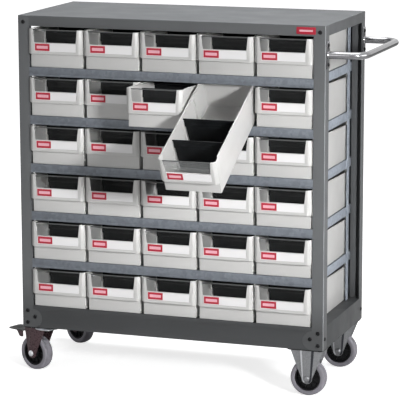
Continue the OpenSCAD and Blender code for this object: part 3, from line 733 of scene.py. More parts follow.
class BaseOperator(bpy.types.Operator):
    """Build the base frame and the back panel"""

    bl_idname = "cabinet.build_base"
    bl_label = "Base and back"

    def execute(self, context):
        base = dressed("base_frame", "base")
        soften(base, 0.3, 2, 60)
        # The base takes the darker copy of the paint: painted shade towards the floor.
        complete(base, "base_painted_shade", ["base_frame"])

        back = dressed("back_panel", "back")
        low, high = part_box("back_panel")
        fields = 3
        wide = (high.x - low.x) / fields
        side, rim = 40 * MM, 45 * MM
        face_y = high.y + 0.6 * MM
        for k in range(fields):
            field = rect(low.x + wide * k + side, low.z + rim, low.x + wide * (k + 1) - side, high.z - rim)
            rib = prism("rib", fillet(field, 12), high.y - 0.2 * MM, face_y, "Y")
            round_edges(rib, 0.5, 3, lambda a, b: lies_at(a, b, 1, face_y))
            fuse(back, rib)
        complete(back, "body_paint", ["back_panel"])
        return {"FINISHED"}


class ShelvesOperator(bpy.types.Operator):
    """Build the galvanised shelves and the slotted uprights"""

    bl_idname = "cabinet.build_shelves"
    bl_label = "Shelves"

    def execute(self, context):
        for row in range(1, ROWS):
            low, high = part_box(f"shelf_{row}")
            shelf = dressed(f"shelf_{row}", f"steel_shelf_{row}")
            round_edges(shelf, 0.9, 3, lambda a, b: lies_at(a, b, 2, high.z))
            soften(shelf, 0.25, 2, 60)
            near, far = low.y - 0.7 * MM, low.y + 0.6 * MM
            hem = prism("hem", fillet([(near, low.z), (far, low.z), (far, low.z + 6.5 * MM),
                (near, low.z + 5.5 * MM)], [0.6, 0.1, 0.1, 0.6]), low.x, high.x, "X")
            shelf = join(shelf.name, [shelf, hem])
            # Side faces take the lighter copy of the zinc: painted light from the right.
            paint(shelf, ["galvanised_steel", "galvanised_painted_light"], lambda face: abs(face.normal.x) > 0.5)
            complete(shelf, None, [f"shelf_{row}"])
        uprights = dressed("shelf_uprights", "slotted_uprights")
        soften(uprights, 0.3, 2, 60)
        # The uprights take the lighter copy of the zinc whole: painted light.
        complete(uprights, "galvanised_painted_light", ["shelf_uprights"])
        return {"FINISHED"}


def front_plan(side_in, front_in):
    """Outline of a drawer front seen from above, drawn in by wall thicknesses."""
    side_x = FRONT_HW - side_in
    nose_x = FRONT_HW - CORNER_W - side_in / 2
    back_x = FRONT_HW - OVERHANG - side_in
    nose_y = -PANEL_PROJ + front_in
    corner_y = -PANEL_PROJ + CORNER_D + front_in / 2
    half = [(nose_x, nose_y), (side_x, corner_y), (side_x, SHOULDER - 2 * OVERHANG), (back_x, SHOULDER)]
    return [(-x, y) for x, y in reversed(half)] + half


def tray_shell(sizes):
    """Outer form of a tray: the long box with a bead along its rim, and the wider front."""
    tray_hw = FRONT_HW - OVERHANG
    wall = sizes.tray_wall
    side = [(0, 0), (TRAY_LEN, 0), (TRAY_LEN, TRAY_H), (TRAY_LEN - wall, TRAY_H), (TRAY_LEN - wall, REAR_RIM),
        (SHOULDER, TRAY_H), (0, TRAY_H)]
    model = prism("tray", side, -tray_hw, tray_hw, "X")
    soften(model, sizes.tray_fold / MM, 3)
    bead_h = 3 * MM
    bead_out = 1.2 * MM
    bead = prism("bead", [(SHOULDER - 4 * MM, TRAY_H), (SHOULDER - 4 * MM, TRAY_H - bead_h),
        (SHOULDER, TRAY_H - bead_h), (TRAY_LEN - 4 * MM, REAR_RIM - bead_h),
        (TRAY_LEN - 4 * MM, REAR_RIM + 0.05 * MM), (SHOULDER, TRAY_H)], -tray_hw - bead_out,
        tray_hw + bead_out, "X")
    soften(bead, 0.5, 2)
    fuse(model, bead)

    lower_hw = FRONT_HW - (PANEL_SIDE_Z - PANEL_Z)
    nose = prism("nose", front_plan(0, 0), PANEL_Z, TRAY_H)
    face = prism("face", [(-lower_hw, PANEL_Z), (lower_hw, PANEL_Z), (FRONT_HW, PANEL_SIDE_Z),
        (FRONT_HW - MM, TRAY_H), (MM - FRONT_HW, TRAY_H), (-FRONT_HW, PANEL_SIDE_Z)], -PANEL_PROJ - PAST,
        SHOULDER + PAST, "Y")
    cut(nose, face, "INTERSECT")
    soften(nose, sizes.tray_fold / MM, 3, 20)
    fuse(model, nose)
    return model


def tray_ribs(sizes, cavity_hw):
    """Guide ribs for the dividers and the small posts behind the window."""
    wall = sizes.tray_wall
    rib_out = 2.5 * MM
    rib_t = 1.5 * MM
    rib_gap = sizes.divider / 2 + SEAT
    ribs = []
    for slot_y in DIVIDER_PLACES + [EMPTY_PLACE]:
        for near, sx in product((slot_y - rib_gap - rib_t, slot_y + rib_gap), (-1, 1)):
            ribs.append(block("rib", (sx * (cavity_hw - rib_out), near, wall - 0.5 * MM),
                (sx * (cavity_hw + 0.5 * MM), near + rib_t, RIB_TOP)))
    keeper_y = -PANEL_PROJ + PANEL_T + sizes.window + 2 * SEAT
    for sx in (-1, 1):
        ribs.append(block("rib", (sx * (WINDOW_HW + EAR_LEAN), keeper_y, PANEL_Z + wall - 0.5 * MM),
            (sx * (WINDOW_HW + EAR_LEAN + EAR_LAP + wall), keeper_y + rib_t, WINDOW_TOP)))
    ribs = join("ribs", ribs)
    soften(ribs, 0.35, 2)
    return ribs


def tray_model(sizes):
    """A whole tray, at its own origin: the foot of its lower front wall."""
    wall = sizes.tray_wall
    cavity_hw = FRONT_HW - OVERHANG - wall
    model = tray_shell(sizes)
    cavity = block("cavity", (-cavity_hw, wall, wall), (cavity_hw, TRAY_LEN - wall, TRAY_H + PAST))
    soften(cavity, 2.5, 3)
    cut(model, cavity)
    pocket = prism("pocket", front_plan(wall, PANEL_T), PANEL_Z + wall, TRAY_H + PAST)
    soften(pocket, 1.2, 2, 20)
    cut(model, pocket)
    sill_hw = WINDOW_HW - EAR_LEAN
    top_hw = WINDOW_HW + EAR_LEAN * (1 + 2 * PAST / (TRAY_H - SILL_Z))
    opening = prism("opening", fillet([(-sill_hw, SILL_Z), (sill_hw, SILL_Z), (top_hw, TRAY_H + PAST),
        (-top_hw, TRAY_H + PAST)], [2, 2, 0, 0]), -PANEL_PROJ - PAST, -PANEL_PROJ + PANEL_T + 0.1 * MM, "Y")
    cut(model, opening)

    card_left, card_right, card_low, card_high = card_box()
    recess = block("recess", (card_left - SEAT, -PANEL_PROJ - PAST, card_low - SEAT),
        (card_right + SEAT, -PANEL_PROJ + 0.8 * MM, card_high + SEAT))
    cut(model, recess)
    slit = block("slit", (card_right + 1.2 * MM, -PANEL_PROJ - PAST, card_low + 3 * MM),
        (card_right + 2 * MM, -PANEL_PROJ + 0.7 * MM, card_high - 3 * MM))
    cut(model, slit)
    fuse(model, tray_ribs(sizes, cavity_hw))
    return model


def card_box():
    """Left, right, low and high edge of the label card."""
    left = 3.5 * MM - WINDOW_HW
    return left, left + 122 * MM, 45.5 * MM, 68 * MM


def divider_model(sizes):
    """A stepped black divider with a ridge along its step and two round marks."""
    top_hw = FRONT_HW - OVERHANG - sizes.tray_wall - SEAT
    step_hw = top_hw - 4.5 * MM
    foot_hw = step_hw - 4 * MM
    foot_z = sizes.tray_wall + SEAT
    step_z = 66 * MM
    top_z = 92 * MM
    half_t = sizes.divider / 2
    half = [(foot_hw, foot_z), (step_hw, step_z), (top_hw, step_z + 1.5 * MM), (top_hw, top_z)]
    points = half + [(-x, z) for x, z in reversed(half)]
    model = prism("divider", fillet(points, [1.5, 1, 1, 2, 2, 1, 1, 1.5]), -half_t, half_t, "Y")
    ridges = []
    for low_z, high_z, hw in ((step_z, step_z + 2 * MM, step_hw - 6 * MM),
            (89 * MM, 91.4 * MM, top_hw - 9 * MM)):
        ridges.append(block("ridge", (-hw, -half_t - 0.7 * MM, low_z), (hw, half_t + 0.7 * MM, high_z)))
    for x in (-38 * MM, 30 * MM):
        mark = rod("mark", 3.2 * MM, -half_t - 0.5 * MM, half_t + 0.5 * MM, 16, "Y")
        shift(mark, x, 0, 78 * MM)
        ridges.append(mark)
    fuse(model, join("ridges", ridges))
    soften(model, 0.25, 2, 50)
    return model


def window_model(sizes):
    """A clear pane with a frosted bead along its top edge."""
    pane_hw = FRONT_HW - CORNER_W - sizes.tray_wall / 2 - SEAT
    pane_low = PANEL_Z + sizes.tray_wall + SEAT
    pane_y = -PANEL_PROJ + PANEL_T + SEAT
    back_y = pane_y + sizes.window
    pane = prism("window", fillet(rect(-pane_hw, pane_low, pane_hw, WINDOW_TOP), [1, 1, 3, 3]), pane_y,
        back_y, "Y")
    soften(pane, 0.25, 2)
    paint(pane, ["clear_plastic"])
    bead_hw = WINDOW_HW + EAR_LEAN - SEAT
    edge = rect(pane_y - 0.2 * MM, WINDOW_TOP - 2.6 * MM, back_y + 0.2 * MM, WINDOW_TOP + 0.3 * MM)
    bead = prism("bead", fillet(edge, 0.5, 2), -bead_hw, bead_hw, "X")
    paint(bead, ["frosted_edge"])
    return join("window", [pane, bead])


def drawer_place(row, col):
    """Where a drawer's own origin lies: the foot of its lower front wall, in the middle of its width."""
    low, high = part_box(f"drawer_r{row}_c{col}")
    if (row, col) != HUNG:
        return move((low.x + high.x) / 2, high.y - TRAY_LEN, low.z)
    pivot = next(j for j in frame["joints"] if j["child"] == "drawer_r2_c4")["pos_m"]
    bay = 134 * MM
    stop_gap = 0.8 * MM
    stay = (bay - stop_gap - (TRAY_H + SEAT) * math.cos(HUNG_TURN)) / math.sin(HUNG_TURN)
    return (Matrix.Translation(pivot) @ spin(HUNG_TURN, "X") @ move(0, stay - TRAY_LEN, SEAT))


class DrawersOperator(bpy.types.Operator):
    """Build every drawer with its window, card, red tag and dividers"""

    bl_idname = "cabinet.build_drawers"
    bl_label = "Drawers"

    def execute(self, context):
        sizes = context.scene.cabinet_sizes
        tray = tray_model(sizes)
        divider = divider_model(sizes)
        dividers = join("dividers", [stamp(divider, "divider", move(0, y, 0)) for y in DIVIDER_PLACES])
        window = window_model(sizes)

        left, right, low, high = card_box()
        card_back = 0.7 * MM - PANEL_PROJ
        card = slab("card", Vector((left, card_back - 0.6 * MM, low)), Vector((right, card_back, high)), 0.8)
        soften(card, 0.12, 1)
        tag_y = card_back - 0.7 * MM
        tag_low = Vector((left + 1.5 * MM, tag_y - 0.4 * MM, low + 1.5 * MM))
        tag_high = Vector((left + 44.5 * MM, tag_y, high - 1.5 * MM))
        tag = slab("tag", tag_low, tag_high, 0.8)
        strip_on(tag, tag_low, tag_high, 5 * MM, 5.8 * MM)

        for piece in (tray, dividers, window, card, tag):
            smooth(piece, SMOOTH_ANGLE)
        for row, col in product(range(1, ROWS + 1), range(1, COLS + 1)):
            key = f"r{row}_c{col}"
            node = "drawer_" + key
            place = drawer_place(row, col)
            for model, name, finish, slot, nodes, own in (
                (tray, "tray_", "tray_plastic", "drawer_plastic", [node], [node]),
                (window, "window_", None, "clear_window", [], ["hung_drawer_window"]),
                (card, "card_", "card_paper", "label_card", [], ["hung_drawer_label"]),
                (tag, "tag_", None, "red_plate", [], []),
                (dividers, "dividers_", "divider_plastic", "divider_plastic", [], ["hung_drawer_dividers"]),
            ):
                piece = stamp(model, name + key, place)
                complete(piece, finish, own if (row, col) == HUNG else nodes, node, None)
        discard(tray, divider, dividers, window, card, tag)
        return {"FINISHED"}


def bolt_model():
    """Button head of a bolt with its socket, below zero on +Z."""
    head = turned("bolt", fillet([(0, -3 * MM), (4 * MM, -3 * MM), (6 * MM, 0), (0, 0)], [0, 1.6, 0.3, 0]),
        24)
    cut(head, rod("socket", 2.1 * MM, -4 * MM, -1.2 * MM, 6))
    return head


def nut_model(stack):
    """A bolt's shank and its nut, beyond the sheets that it holds."""
    nut = rod("nut", 5.5 * MM, stack, stack + 4 * MM, 6)
    soften(nut, 0.5, 2)
    tip = turned("tip", fillet(rect(0, 0, 2.9 * MM, stack + 4.6 * MM), [0, 0, 0.4, 0]), 16)
    return join("nut", [nut, tip])


class BoltsOperator(bpy.types.Operator):
    """Build the black bolts of the posts, the handle and the casters"""

    bl_idname = "cabinet.build_bolts"
    bl_label = "Bolts"

    def execute(self, context):
        head = bolt_model()
        thin = nut_model(2 * context.scene.cabinet_sizes.sheet)
        thick = nut_model(4.2 * MM)
        deep = nut_model(6 * MM)
        made = []

        def fasten(nut, place):
            made.extend((stamp(head, "b", place), stamp(nut, "b", place)))

        quarter = math.pi / 2
        outer, middle = 15.5 * MM, 30.5 * MM
        top = TOP_Z - BODY_Z - 18 * MM
        for sx, sy in product((-1, 1), repeat=2):
            corner = corner_place(sx, sy)
            for x, z in ((outer, 13.5 * MM), (outer, 47.5 * MM), (38 * MM, middle), (outer, top)):
                fasten(thin, corner @ move(x, 0, z) @ spin(-quarter, "X"))
            fasten(thin, corner @ move(0, 14 * MM, middle) @ spin(quarter, "Y"))
        for sy, up in product((-1, 1), repeat=2):
            fasten(thick, move(HALF_W + 3 * MM, sy * HANDLE_Y, HANDLE_Z + up * 26 * MM) @ spin(-quarter, "Y"))
        for sx, sy, bx, by in product((-1, 1), repeat=4):
            fasten(deep, move(sx * CASTER_X + bx * 38 * MM, sy * CASTER_Y + by * 29 * MM, PLATE_Z))
        bolts = join("bolts", made)
        complete(bolts, "black_steel_and_painted_shadow", ["frame_bolts"], angle=40)
        discard(head, thin, thick, deep)
        return {"FINISHED"}


class HandleOperator(bpy.types.Operator):
    """Build the bent push handle with its welded end plates"""

    bl_idname = "cabinet.build_handle"
    bl_label = "Push handle"

    def execute(self, context):
        radius = context.scene.cabinet_sizes.handle_tube / 2
        reach, bend, plate_t = 100 * MM, 40 * MM, 3 * MM
        start_x = HALF_W + 1.5 * MM
        bend_x = HALF_W + reach - bend
        bend_y = HANDLE_Y - bend
        deselect()
        bpy.ops.mesh.primitive_circle_add(vertices=32, radius=radius, fill_type="NOTHING",
            location=(start_x, -HANDLE_Y, HANDLE_Z), rotation=(0, math.pi / 2, 0))
        tube = added("handle")
        enter(tube)
        for run, turn_y in (((bend_x - start_x, 0, 0), -bend_y), ((0, 2 * bend_y, 0), bend_y)):
            bpy.ops.mesh.extrude_region_move(TRANSFORM_OT_translate={"value": run})
            bpy.ops.mesh.spin(steps=12, angle=-math.pi / 2, center=(bend_x, turn_y, HANDLE_Z), axis=(0, 0, 1))
        bpy.ops.mesh.extrude_region_move(TRANSFORM_OT_translate={"value": (start_x - bend_x, 0, 0)})
        bpy.ops.mesh.select_all(action="SELECT")
        bpy.ops.mesh.fill_holes(sides=0)
        leave()
        face_out(tube)
        parts = [tube]
        half_w, half_h = 11 * MM, 37 * MM
        weld_h = 3 * MM
        for sy in (-1, 1):
            y = sy * HANDLE_Y
            plate = rect(y - half_w, HANDLE_Z - half_h, y + half_w, HANDLE_Z + half_h)
            plate = prism("plate", fillet(plate, 5), HALF_W, HALF_W + plate_t, "X")
            soften(plate, 0.5, 2)
            weld = turned("weld", fillet([(radius - MM, 0), (radius + 2.2 * MM, 0),
                (radius - 0.2 * MM, weld_h), (radius - MM, weld_h)], [0, 0.4, 0.4, 0], 2), 32)
            weld.data.transform(move(HALF_W + plate_t, y, HANDLE_Z) @ spin(math.pi / 2, "Y"))
            parts += [plate, weld]
        handle = join("handle", parts)
        complete(handle, "handle_chrome", ["push_handle"], angle=40)
        return {"FINISHED"}


def caster_plate():
    """Mounting plate with rounded corners, at a caster's own centre."""
    hx, hy = 51 * MM, 42 * MM
    plate = prism("plate", fillet(rect(-hx, -hy, hx, hy), 9), PLATE_Z, BODY_Z)
    soften(plate, 0.5, 2)
    return plate


def leg_outline(axle_x, top, mid_x, top_w, end_r, shoulder):
    """Outline of a fork leg that narrows to a round end about the axle."""
    arc = []
    for k in range(13):
        a = math.pi + math.pi * k / 12
        arc.append((axle_x + end_r * math.cos(a), AXLE_Z + end_r * math.sin(a)))
    left, right = mid_x - top_w / 2, mid_x + top_w / 2
    return arc + [(right, top - shoulder), (right, top), (left, top), (left, top - shoulder)]


def leg_pair(axle_x, top, mid_x, top_w):
    """Two fork legs, each pressed outwards in the middle down to the axle."""
    legs = []
    for side in (-1, 1):
        leg = prism("leg", leg_outline(axle_x, top, mid_x, top_w, 15 * MM, 6 * MM), side * LEG_IN,
            side * LEG_OUT, "Y")
        soften(leg, 0.5, 2)
        outer = side * (LEG_OUT + RIB_OUT)
        rib = prism("rib", leg_outline(axle_x, top - 0.6 * MM, mid_x, 42 * MM, 14.5 * MM, 4 * MM),
            side * (LEG_OUT - 0.5 * MM), outer, "Y")
        for corner in rib.data.vertices:
            if abs(corner.co.y - outer) < 1e-5:
                rise = max(0.0, (corner.co.z - AXLE_Z) / (top - AXLE_Z))
                middle = axle_x + (mid_x - axle_x) * rise
                corner.co.x = middle + (corner.co.x - middle) * RIB_FACE
                if corner.co.z < AXLE_Z:
                    corner.co.z = AXLE_Z + (corner.co.z - AXLE_Z) * RIB_FACE
        round_edges(rib, 1.0, 3, lambda a, b: lies_at(a, b, 1, outer))
        fuse(leg, rib)
        legs.append(leg)
    return legs


def axle_parts():
    """Axle with a round head at one end and a hex nut at the other, at the axle's centre."""
    face = LEG_OUT + RIB_OUT + 0.1 * MM
    far = face + 4.5 * MM
    head = turned("head", fillet([(0, -far), (5.6 * MM, -far), (8.5 * MM, -face - 1.6 * MM),
        (8.5 * MM, -face), (0, -face)], [0, 1.5, 1.2, 0, 0]), 32, "Y")
    nut = rod("nut", 8.4 * MM, face, far, 6, "Y")
    soften(nut, 0.7, 2)
    shank = turned("shank", fillet(rect(0, -face, 5 * MM, face + 5.1 * MM), [0, 0, 0.7, 0]), 24, "Y")
    return [head, nut, shank]


def caster_pair(name, model, x):
    """Two copies of a model, over the two casters at one end of the cabinet."""
    return join(name, [stamp(model, "part", move(x, sy * CASTER_Y, 0)) for sy in (-1, 1)])


def swivel_turn(body):
    """Rest angle of a swivel caster, from the line between its pivot and its wheel."""
    joints = {j["name"]: j for j in frame["joints"]}
    pivot = Vector(joints[f"{body}_turn"]["pos_m"])
    wheel = Vector(joints[f"wheel_{body.split('_')[1]}_left_spin"]["pos_m"])
    return math.atan2(wheel.y - pivot.y, wheel.x - pivot.x) - math.pi, pivot


class FixedCastersOperator(bpy.types.Operator):
    """Build the plates, forks and axles of the fixed casters"""

    bl_idname = "cabinet.build_fixed_casters"
    bl_label = "Fixed casters"

    def execute(self, context):
        # Plate faces are painted black as shadow under the base; rib slopes facing -X take the lit copy of
        # the zinc and those facing +X the shaded copy: painted light and painted shade.
        def tone(face):
            if face.center.z > PLATE_Z + 0.1 * MM:
                return 3
            slope = abs(face.normal.x) > 0.25 and abs(face.normal.y) > 0.3
            if slope and abs(face.center.y) > LEG_OUT + 0.2 * MM:
                return 1 if face.normal.x < 0 else 2
            return 0

        fork = join("fork", [caster_plate()] + leg_pair(0, PLATE_Z + 0.5 * MM, 0, 92 * MM))
        paint(fork, ["zinc_plate", "zinc_lit", "zinc_shade", "black_steel_and_painted_shadow"], tone)
        axle = join("axle", axle_parts())
        paint(axle, ["zinc_plate"])
        shift(axle, 0, 0, AXLE_Z)
        for model, name, node in ((fork, "caster_forks", "fixed_forks"),
                (axle, "caster_axles", "fixed_axles")):
            piece = caster_pair(name, model, CASTER_X)
            complete(piece, None, [node], angle=40)
        discard(fork, axle)
        return {"FINISHED"}


class SwivelCastersOperator(bpy.types.Operator):
    """Build the swivel casters with their ball races, forks and brake pedals"""

    bl_idname = "cabinet.build_swivel_casters"
    bl_label = "Swivel casters"

    def execute(self, context):
        race_r = 31 * MM
        race_low = PLATE_Z - 6 * MM
        crown_top = race_low - 0.3 * MM
        crown_z = crown_top - 3 * MM
        king_low = crown_z - 0.3 * MM - 6 * MM
        race = turned("race", fillet([(0, race_low), (race_r - 2.5 * MM, race_low),
            (race_r, race_low + 2.5 * MM), (race_r, PLATE_Z + 0.4 * MM), (0, PLATE_Z + 0.4 * MM)],
            [0, 1, 1, 0, 0]), 48)
        king = rod("king", 6 * MM, king_low, PLATE_Z, 24)
        nut = rod("nut", 11 * MM, king_low, king_low + 6 * MM, 6)
        soften(nut, 0.8, 2)
        top = join("top", [caster_plate(), race, king, nut])
        # The race, king pin and nut take the lit copy of the zinc, a painted highlight; the plate is painted
        # black as shadow under the base.
        paint(top, ["zinc_lit", "black_steel_and_painted_shadow"], lambda face: face.center.z > PLATE_Z + 0.1 * MM)
        tops = caster_pair("swivel_tops", top, -CASTER_X)
        complete(tops, None, ["swivel_plates"], angle=40)

        fork = self.fork(crown_z, crown_top, race_r)
        pedal = self.pedal()
        for end in ("front", "rear"):
            turn, pivot = swivel_turn("swivel_" + end)
            place = move(pivot.x, pivot.y, 0) @ spin(turn, "Z")
            for model, name, body, slot, node in (
                (fork, "fork_", "swivel_", "caster_zinc", "swivel_fork_"),
                (pedal, "pedal_", "brake_", "pedal_metal", "brake_pedal_"),
            ):
                piece = stamp(model, name + end, place)
                complete(piece, None, [node + end], body + end, 40)
        discard(top, fork, pedal)
        return {"FINISHED"}

    def fork(self, crown_z, crown_top, race_r):
        back, front = 62 * MM, 30 * MM
        crown = prism("crown", fillet(rect(-back, -LEG_OUT, front, LEG_OUT), 4), crown_z, crown_top)
        soften(crown, 0.6, 2)
        dish = turned("dish", fillet([(0, crown_z), (race_r - 2 * MM, crown_z), (race_r, crown_z + 1.4 * MM),
            (race_r, crown_top), (0, crown_top)], [0, 1, 0.8, 0.4, 0]), 48)
        fuse(crown, dish)
        cut(crown, rod("bore", 6.05 * MM, crown_z - MM, crown_top + MM, 24))
        axle = join("axle", axle_parts())
        shift(axle, -TRAIL, 0, AXLE_Z)
        end = LEG_OUT + 0.6 * MM
        pin = turned("pin", fillet(rect(0, -end, 3 * MM, end), [0, 0.6, 0.6, 0]), 16, "Y")
        shift(pin, PIN_X, 0, PIN_Z)
        legs = leg_pair(-TRAIL, crown_top - 0.2 * MM, -25 * MM, 74 * MM)
        # The crown and the axle take the lit copy of the zinc: a painted highlight.
        for part in (crown, axle):
            paint(part, ["zinc_lit"])
        for part in (pin, *legs):
            paint(part, ["fork_steel"])
        return join("fork", [crown, axle, pin] + legs)

    def pedal(self):
        tip = -125 * MM
        half_w, barrel_hw, barrel_r = 25.5 * MM, 18.5 * MM, 5.5 * MM
        barrel = turned("barrel", fillet(rect(3.05 * MM, -barrel_hw, barrel_r, barrel_hw), 0.4, 2), 24, "Y")
        shift(barrel, PIN_X, 0, PIN_Z)
        foot_x = PIN_X - 13 * MM
        neck_x = PIN_X - 3.6 * MM
        plan = [(tip, -half_w), (foot_x, -half_w), (foot_x, -barrel_hw), (neck_x, -barrel_hw),
            (neck_x, barrel_hw), (foot_x, barrel_hw), (foot_x, half_w), (tip, half_w)]
        foot = prism("foot", fillet(plan, [9, 2, 1, 0, 0, 1, 2, 9]), PIN_Z - 2.5 * MM, PIN_Z)
        ridges = [block("ridge", (tip + (7 + 6 * k) * MM, 8 * MM - half_w, PIN_Z - MM),
            (tip + (9 + 6 * k) * MM, half_w - 8 * MM, PIN_Z + 0.6 * MM)) for k in range(5)]
        ridges = join("ridges", ridges)
        soften(ridges, 0.4, 2)
        fuse(foot, ridges)
        top, low = PIN_Z - MM, PIN_Z - 19.2 * MM
        side = fillet([(foot_x, top), (foot_x, low), (foot_x - 12 * MM, low), (foot_x - 24 * MM, top)],
            [0, 3, 6, 0])
        for sy in (-1, 1):
            fuse(foot, prism("cheek", side, sy * half_w, sy * (half_w - 2.5 * MM), "Y"))
        soften(foot, 0.35, 2, 50)
        shoe_x = PIN_X - 1.55 * MM
        wheel_top = AXLE_Z + math.sqrt(WHEEL_R ** 2 - (shoe_x + TRAIL) ** 2)
        shoe = block("shoe", (shoe_x - 9 * MM, -12 * MM, wheel_top + 2 * MM),
            (shoe_x, 12 * MM, PIN_Z - 0.2 * MM))
        soften(shoe, 1.0, 2)
        bore = rod("bore", 3.3 * MM, -13 * MM, 13 * MM, 24, "Y")
        shift(bore, PIN_X, 0, PIN_Z)
        cut(shoe, bore)
        pedal = join("pedal", [foot, barrel, shoe])
        paint(pedal, ["pedal_steel", "fork_steel"], lambda face: face.center.z < PIN_Z - 2.6 * MM)
        return pedal


class WheelsOperator(bpy.types.Operator):
    """Build the wheels: a black ribbed hub and a grey rubber tyre"""

    bl_idname = "cabinet.build_wheels"
    bl_label = "Wheels"

    def execute(self, context):
        hub_r, half_w, rim_w = 36 * MM, 16 * MM, 14 * MM
        profile = [(5.05, -18.5), (11.5, -18.5), (13, -16.5), (14, -5), (31, -4), (32.2, -12.6), (33.2, -14),
            (36, -14)]
        profile = [(r * MM, h * MM) for r, h in profile]
        hub = turned("hub", profile + [(r, -h) for r, h in reversed(profile)], 64, "Y")
        ribs = []
        for k in range(10):
            rib = block("rib", (12 * MM, -9 * MM, -1.1 * MM), (32.6 * MM, 9 * MM, 1.1 * MM))
            round_edges(rib, 4, 3, lambda a, b: min(a.x, b.x) > 30 * MM and abs(a.z - b.z) > MM)
            rib.data.transform(spin(math.tau * k / 10, "Y"))
            ribs.append(rib)
        hub = join("hub", [hub] + ribs)

        bevel = 6 * MM
        tread_r = WHEEL_R - 1.2 * MM
        outer = [(hub_r + 0.05 * MM, -rim_w), (hub_r + 1.6 * MM, -half_w + 0.3 * MM),
            (hub_r + 2.6 * MM, -half_w), (WHEEL_R - bevel - MM, -half_w)]
        for k in range(7):
            a = math.radians(90 * k / 6)
            outer.append((tread_r - (bevel - 1.2 * MM) * (1 - math.sin(a)),
                -half_w + bevel * (1 - math.cos(a))))
        tread = ((1.2, 7.4), (1.7, 7.8), (1.7, 8.4), (0.5, 9), (0, 12))
        outer += [(WHEEL_R - drop * MM, -half_w + rise * MM) for drop, rise in tread]
        tyre = turned("tyre", outer + [(r, -h) for r, h in reversed(outer)], 72, "Y")
        for end, side in product(("front", "rear"), ("left", "right")):
            spot = f"{end}_{side}"
            joint = next(j for j in frame["joints"] if j["name"] == f"wheel_{spot}_spin")
            place = Matrix.Translation(joint["pos_m"])
            if side == "left":
                place = place @ spin(swivel_turn("swivel_" + end)[0], "Z")
            for model, name, finish, nodes in ((hub, "hub_", "hub_plastic", ["wheel_" + spot]),
                    (tyre, "tyre_", "tyre_rubber", [])):
                piece = stamp(model, name + spot, place)
                complete(piece, finish, nodes, "wheel_" + spot)
        discard(hub, tyre)
        return {"FINISHED"}


def lamp(name, place, target, size, power, spread=180):
    """An oblong soft light that faces its target; power in watts, spread in degrees."""
    deselect()
    bpy.ops.object.light_add(type="AREA", location=place)
    light = bpy.context.object
    light.name = name
    light.data.shape = "RECTANGLE"
    light.data.size, light.data.size_y = size
    light.data.energy = power
    light.data.spread = math.radians(spread)
    light.rotation_mode = "QUATERNION"
    light.rotation_quaternion = (Vector(target) - Vector(place)).to_track_quat("-Z", "Y")


def set_floor():
    """A pale floor that glows for the camera, so it is white and keeps the shadow."""
    deselect()
    bpy.ops.mesh.primitive_plane_add(size=40, location=(0, 0, 0))
    floor = bpy.context.object
    floor.name = "floor"
    tree, shader = start_finish("floor_white", (0.80, 0.80, 0.80), 0.0, 0.9)
    set_inputs(shader, Specular_IOR_Level=0.0)
    glow = add_node(tree, "Emission", Color=(1, 1, 1, 1))
    path = add_node(tree, "LightPath")
    seen = add_node(tree, "Math", "MAXIMUM")
    strength = add_node(tree, "Math", "MULTIPLY")
    spot = add_node(tree, "TexCoord")
    reach = add_node(tree, "VectorMath", "LENGTH")
    fade = add_node(tree, "MapRange", From_Min=1.0, From_Max=3.0, To_Min=0.72, To_Max=1.0)
    total = add_node(tree, "AddShader")
    wire(tree, (spot, "Object", reach, 0), (reach, "Value", fade, "Value"), (fade, "Result", strength, 1),
        (path, "Is Camera Ray", seen, 0), (path, "Is Transmission Ray", seen, 1),
        (seen, "Value", strength, 0), (strength, "Value", glow, "Strength"), (shader, "BSDF", total, 0),
        (glow, "Emission", total, 1), (total, "Shader", tree.nodes["Material Output"], "Surface"))
    paint(floor, ["floor_white"])


def set_world(scene):
    """A white backdrop for the camera and for reflections, and a dim even light for the rest."""
    world = bpy.data.worlds.new("studio")
    scene.world = world
    world.use_nodes = True
    tree = world.node_tree
    back = tree.nodes["Background"]
    set_inputs(back, Color=(1, 1, 1, 1))
    path = add_node(tree, "LightPath")
    first = add_node(tree, "Math", "MAXIMUM")
    second = add_node(tree, "Math", "MAXIMUM")
    level = add_node(tree, "MapRange", To_Min=0.2, To_Max=1.0)
    wire(tree, (path, "Is Camera Ray", first, 0), (path, "Is Glossy Ray", first, 1),
        (first, "Value", second, 0), (path, "Is Transmission Ray", second, 1),
        (second, "Value", level, "Value"), (level, "Result", back, "Strength"))


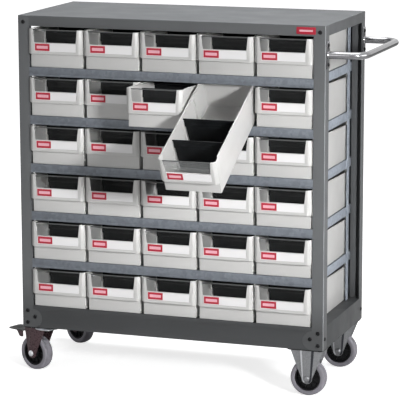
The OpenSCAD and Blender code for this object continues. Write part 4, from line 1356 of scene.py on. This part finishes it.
class StageOperator(bpy.types.Operator):
    """Set up the pale floor, the soft lights and the camera"""

    bl_idname = "cabinet.set_stage"
    bl_label = "Stage"

    def execute(self, context):
        set_floor()
        set_world(context.scene)
        lamp("key", (3.05, -2.85, 1.5), (0.05, -0.2, 0.52), (0.45, 0.45), 6, 30)
        lamp("right", (4.2, -0.4, 1.6), (0.3, 0, 0.7), (2.4, 2.0), 60)
        lamp("front", (-1.6, -4.5, 1.3), (0, 0, 0.6), (2.6, 1.8), 24)
        lamp("above", (0.3, 0.2, 3.6), (0, 0, 1.0), (2.4, 1.8), 88)

        deselect()
        bpy.ops.object.camera_add()
        camera = bpy.context.object
        camera.name = "camera"
        camera.data.sensor_width = 36
        camera.data.lens = 201.64
        camera.data.clip_end = 60
        turn, tilt, roll = (math.radians(angle) for angle in (19.17, 90 - 10.77, -0.12))
        camera.matrix_world = (move(2.050, -5.839, 1.666) @ spin(turn, "Z") @ spin(tilt, "X")
            @ spin(roll, "Z"))
        context.scene.camera = camera
        context.scene.view_settings.view_transform = "Standard"
        return {"FINISHED"}


class CabinetPanel(bpy.types.Panel):
    """Lists the steps that build the cabinet"""

    bl_idname = "VIEW3D_PT_mobile_parts_cabinet"
    bl_label = "Mobile Parts Cabinet"
    bl_space_type = "VIEW_3D"
    bl_region_type = "UI"
    bl_category = "Cabinet"

    def draw(self, context):
        sizes = context.scene.cabinet_sizes
        colours = context.scene.cabinet_colours
        for group_of in (sizes, colours):
            box = self.layout.box()
            for name in group_of.bl_rna.properties.keys():
                if name not in ("rna_type", "name"):
                    box.prop(group_of, name)
        for step in STEPS:
            self.layout.operator(step.bl_idname)


STEPS = (
    FinishesOperator,
    TopOperator,
    PostsOperator,
    BaseOperator,
    ShelvesOperator,
    DrawersOperator,
    BoltsOperator,
    HandleOperator,
    FixedCastersOperator,
    SwivelCastersOperator,
    WheelsOperator,
    StageOperator,
)
CLASSES = (CabinetSizes, CabinetColours) + STEPS + (CabinetPanel,)


def register():
    for cls in CLASSES:
        bpy.utils.register_class(cls)
    bpy.types.Scene.cabinet_sizes = PointerProperty(type=CabinetSizes)
    bpy.types.Scene.cabinet_colours = PointerProperty(type=CabinetColours)


def unregister():
    del bpy.types.Scene.cabinet_colours
    del bpy.types.Scene.cabinet_sizes
    for cls in reversed(CLASSES):
        bpy.utils.unregister_class(cls)


def main():
    register()
    bpy.ops.cabinet.make_finishes()
    bpy.ops.cabinet.build_top()
    bpy.ops.cabinet.build_posts()
    bpy.ops.cabinet.build_base()
    bpy.ops.cabinet.build_shelves()
    bpy.ops.cabinet.build_drawers()
    bpy.ops.cabinet.build_bolts()
    bpy.ops.cabinet.build_handle()
    bpy.ops.cabinet.build_fixed_casters()
    bpy.ops.cabinet.build_swivel_casters()
    bpy.ops.cabinet.build_wheels()
    bpy.ops.cabinet.set_stage()


if __name__ == "__main__":
    main()
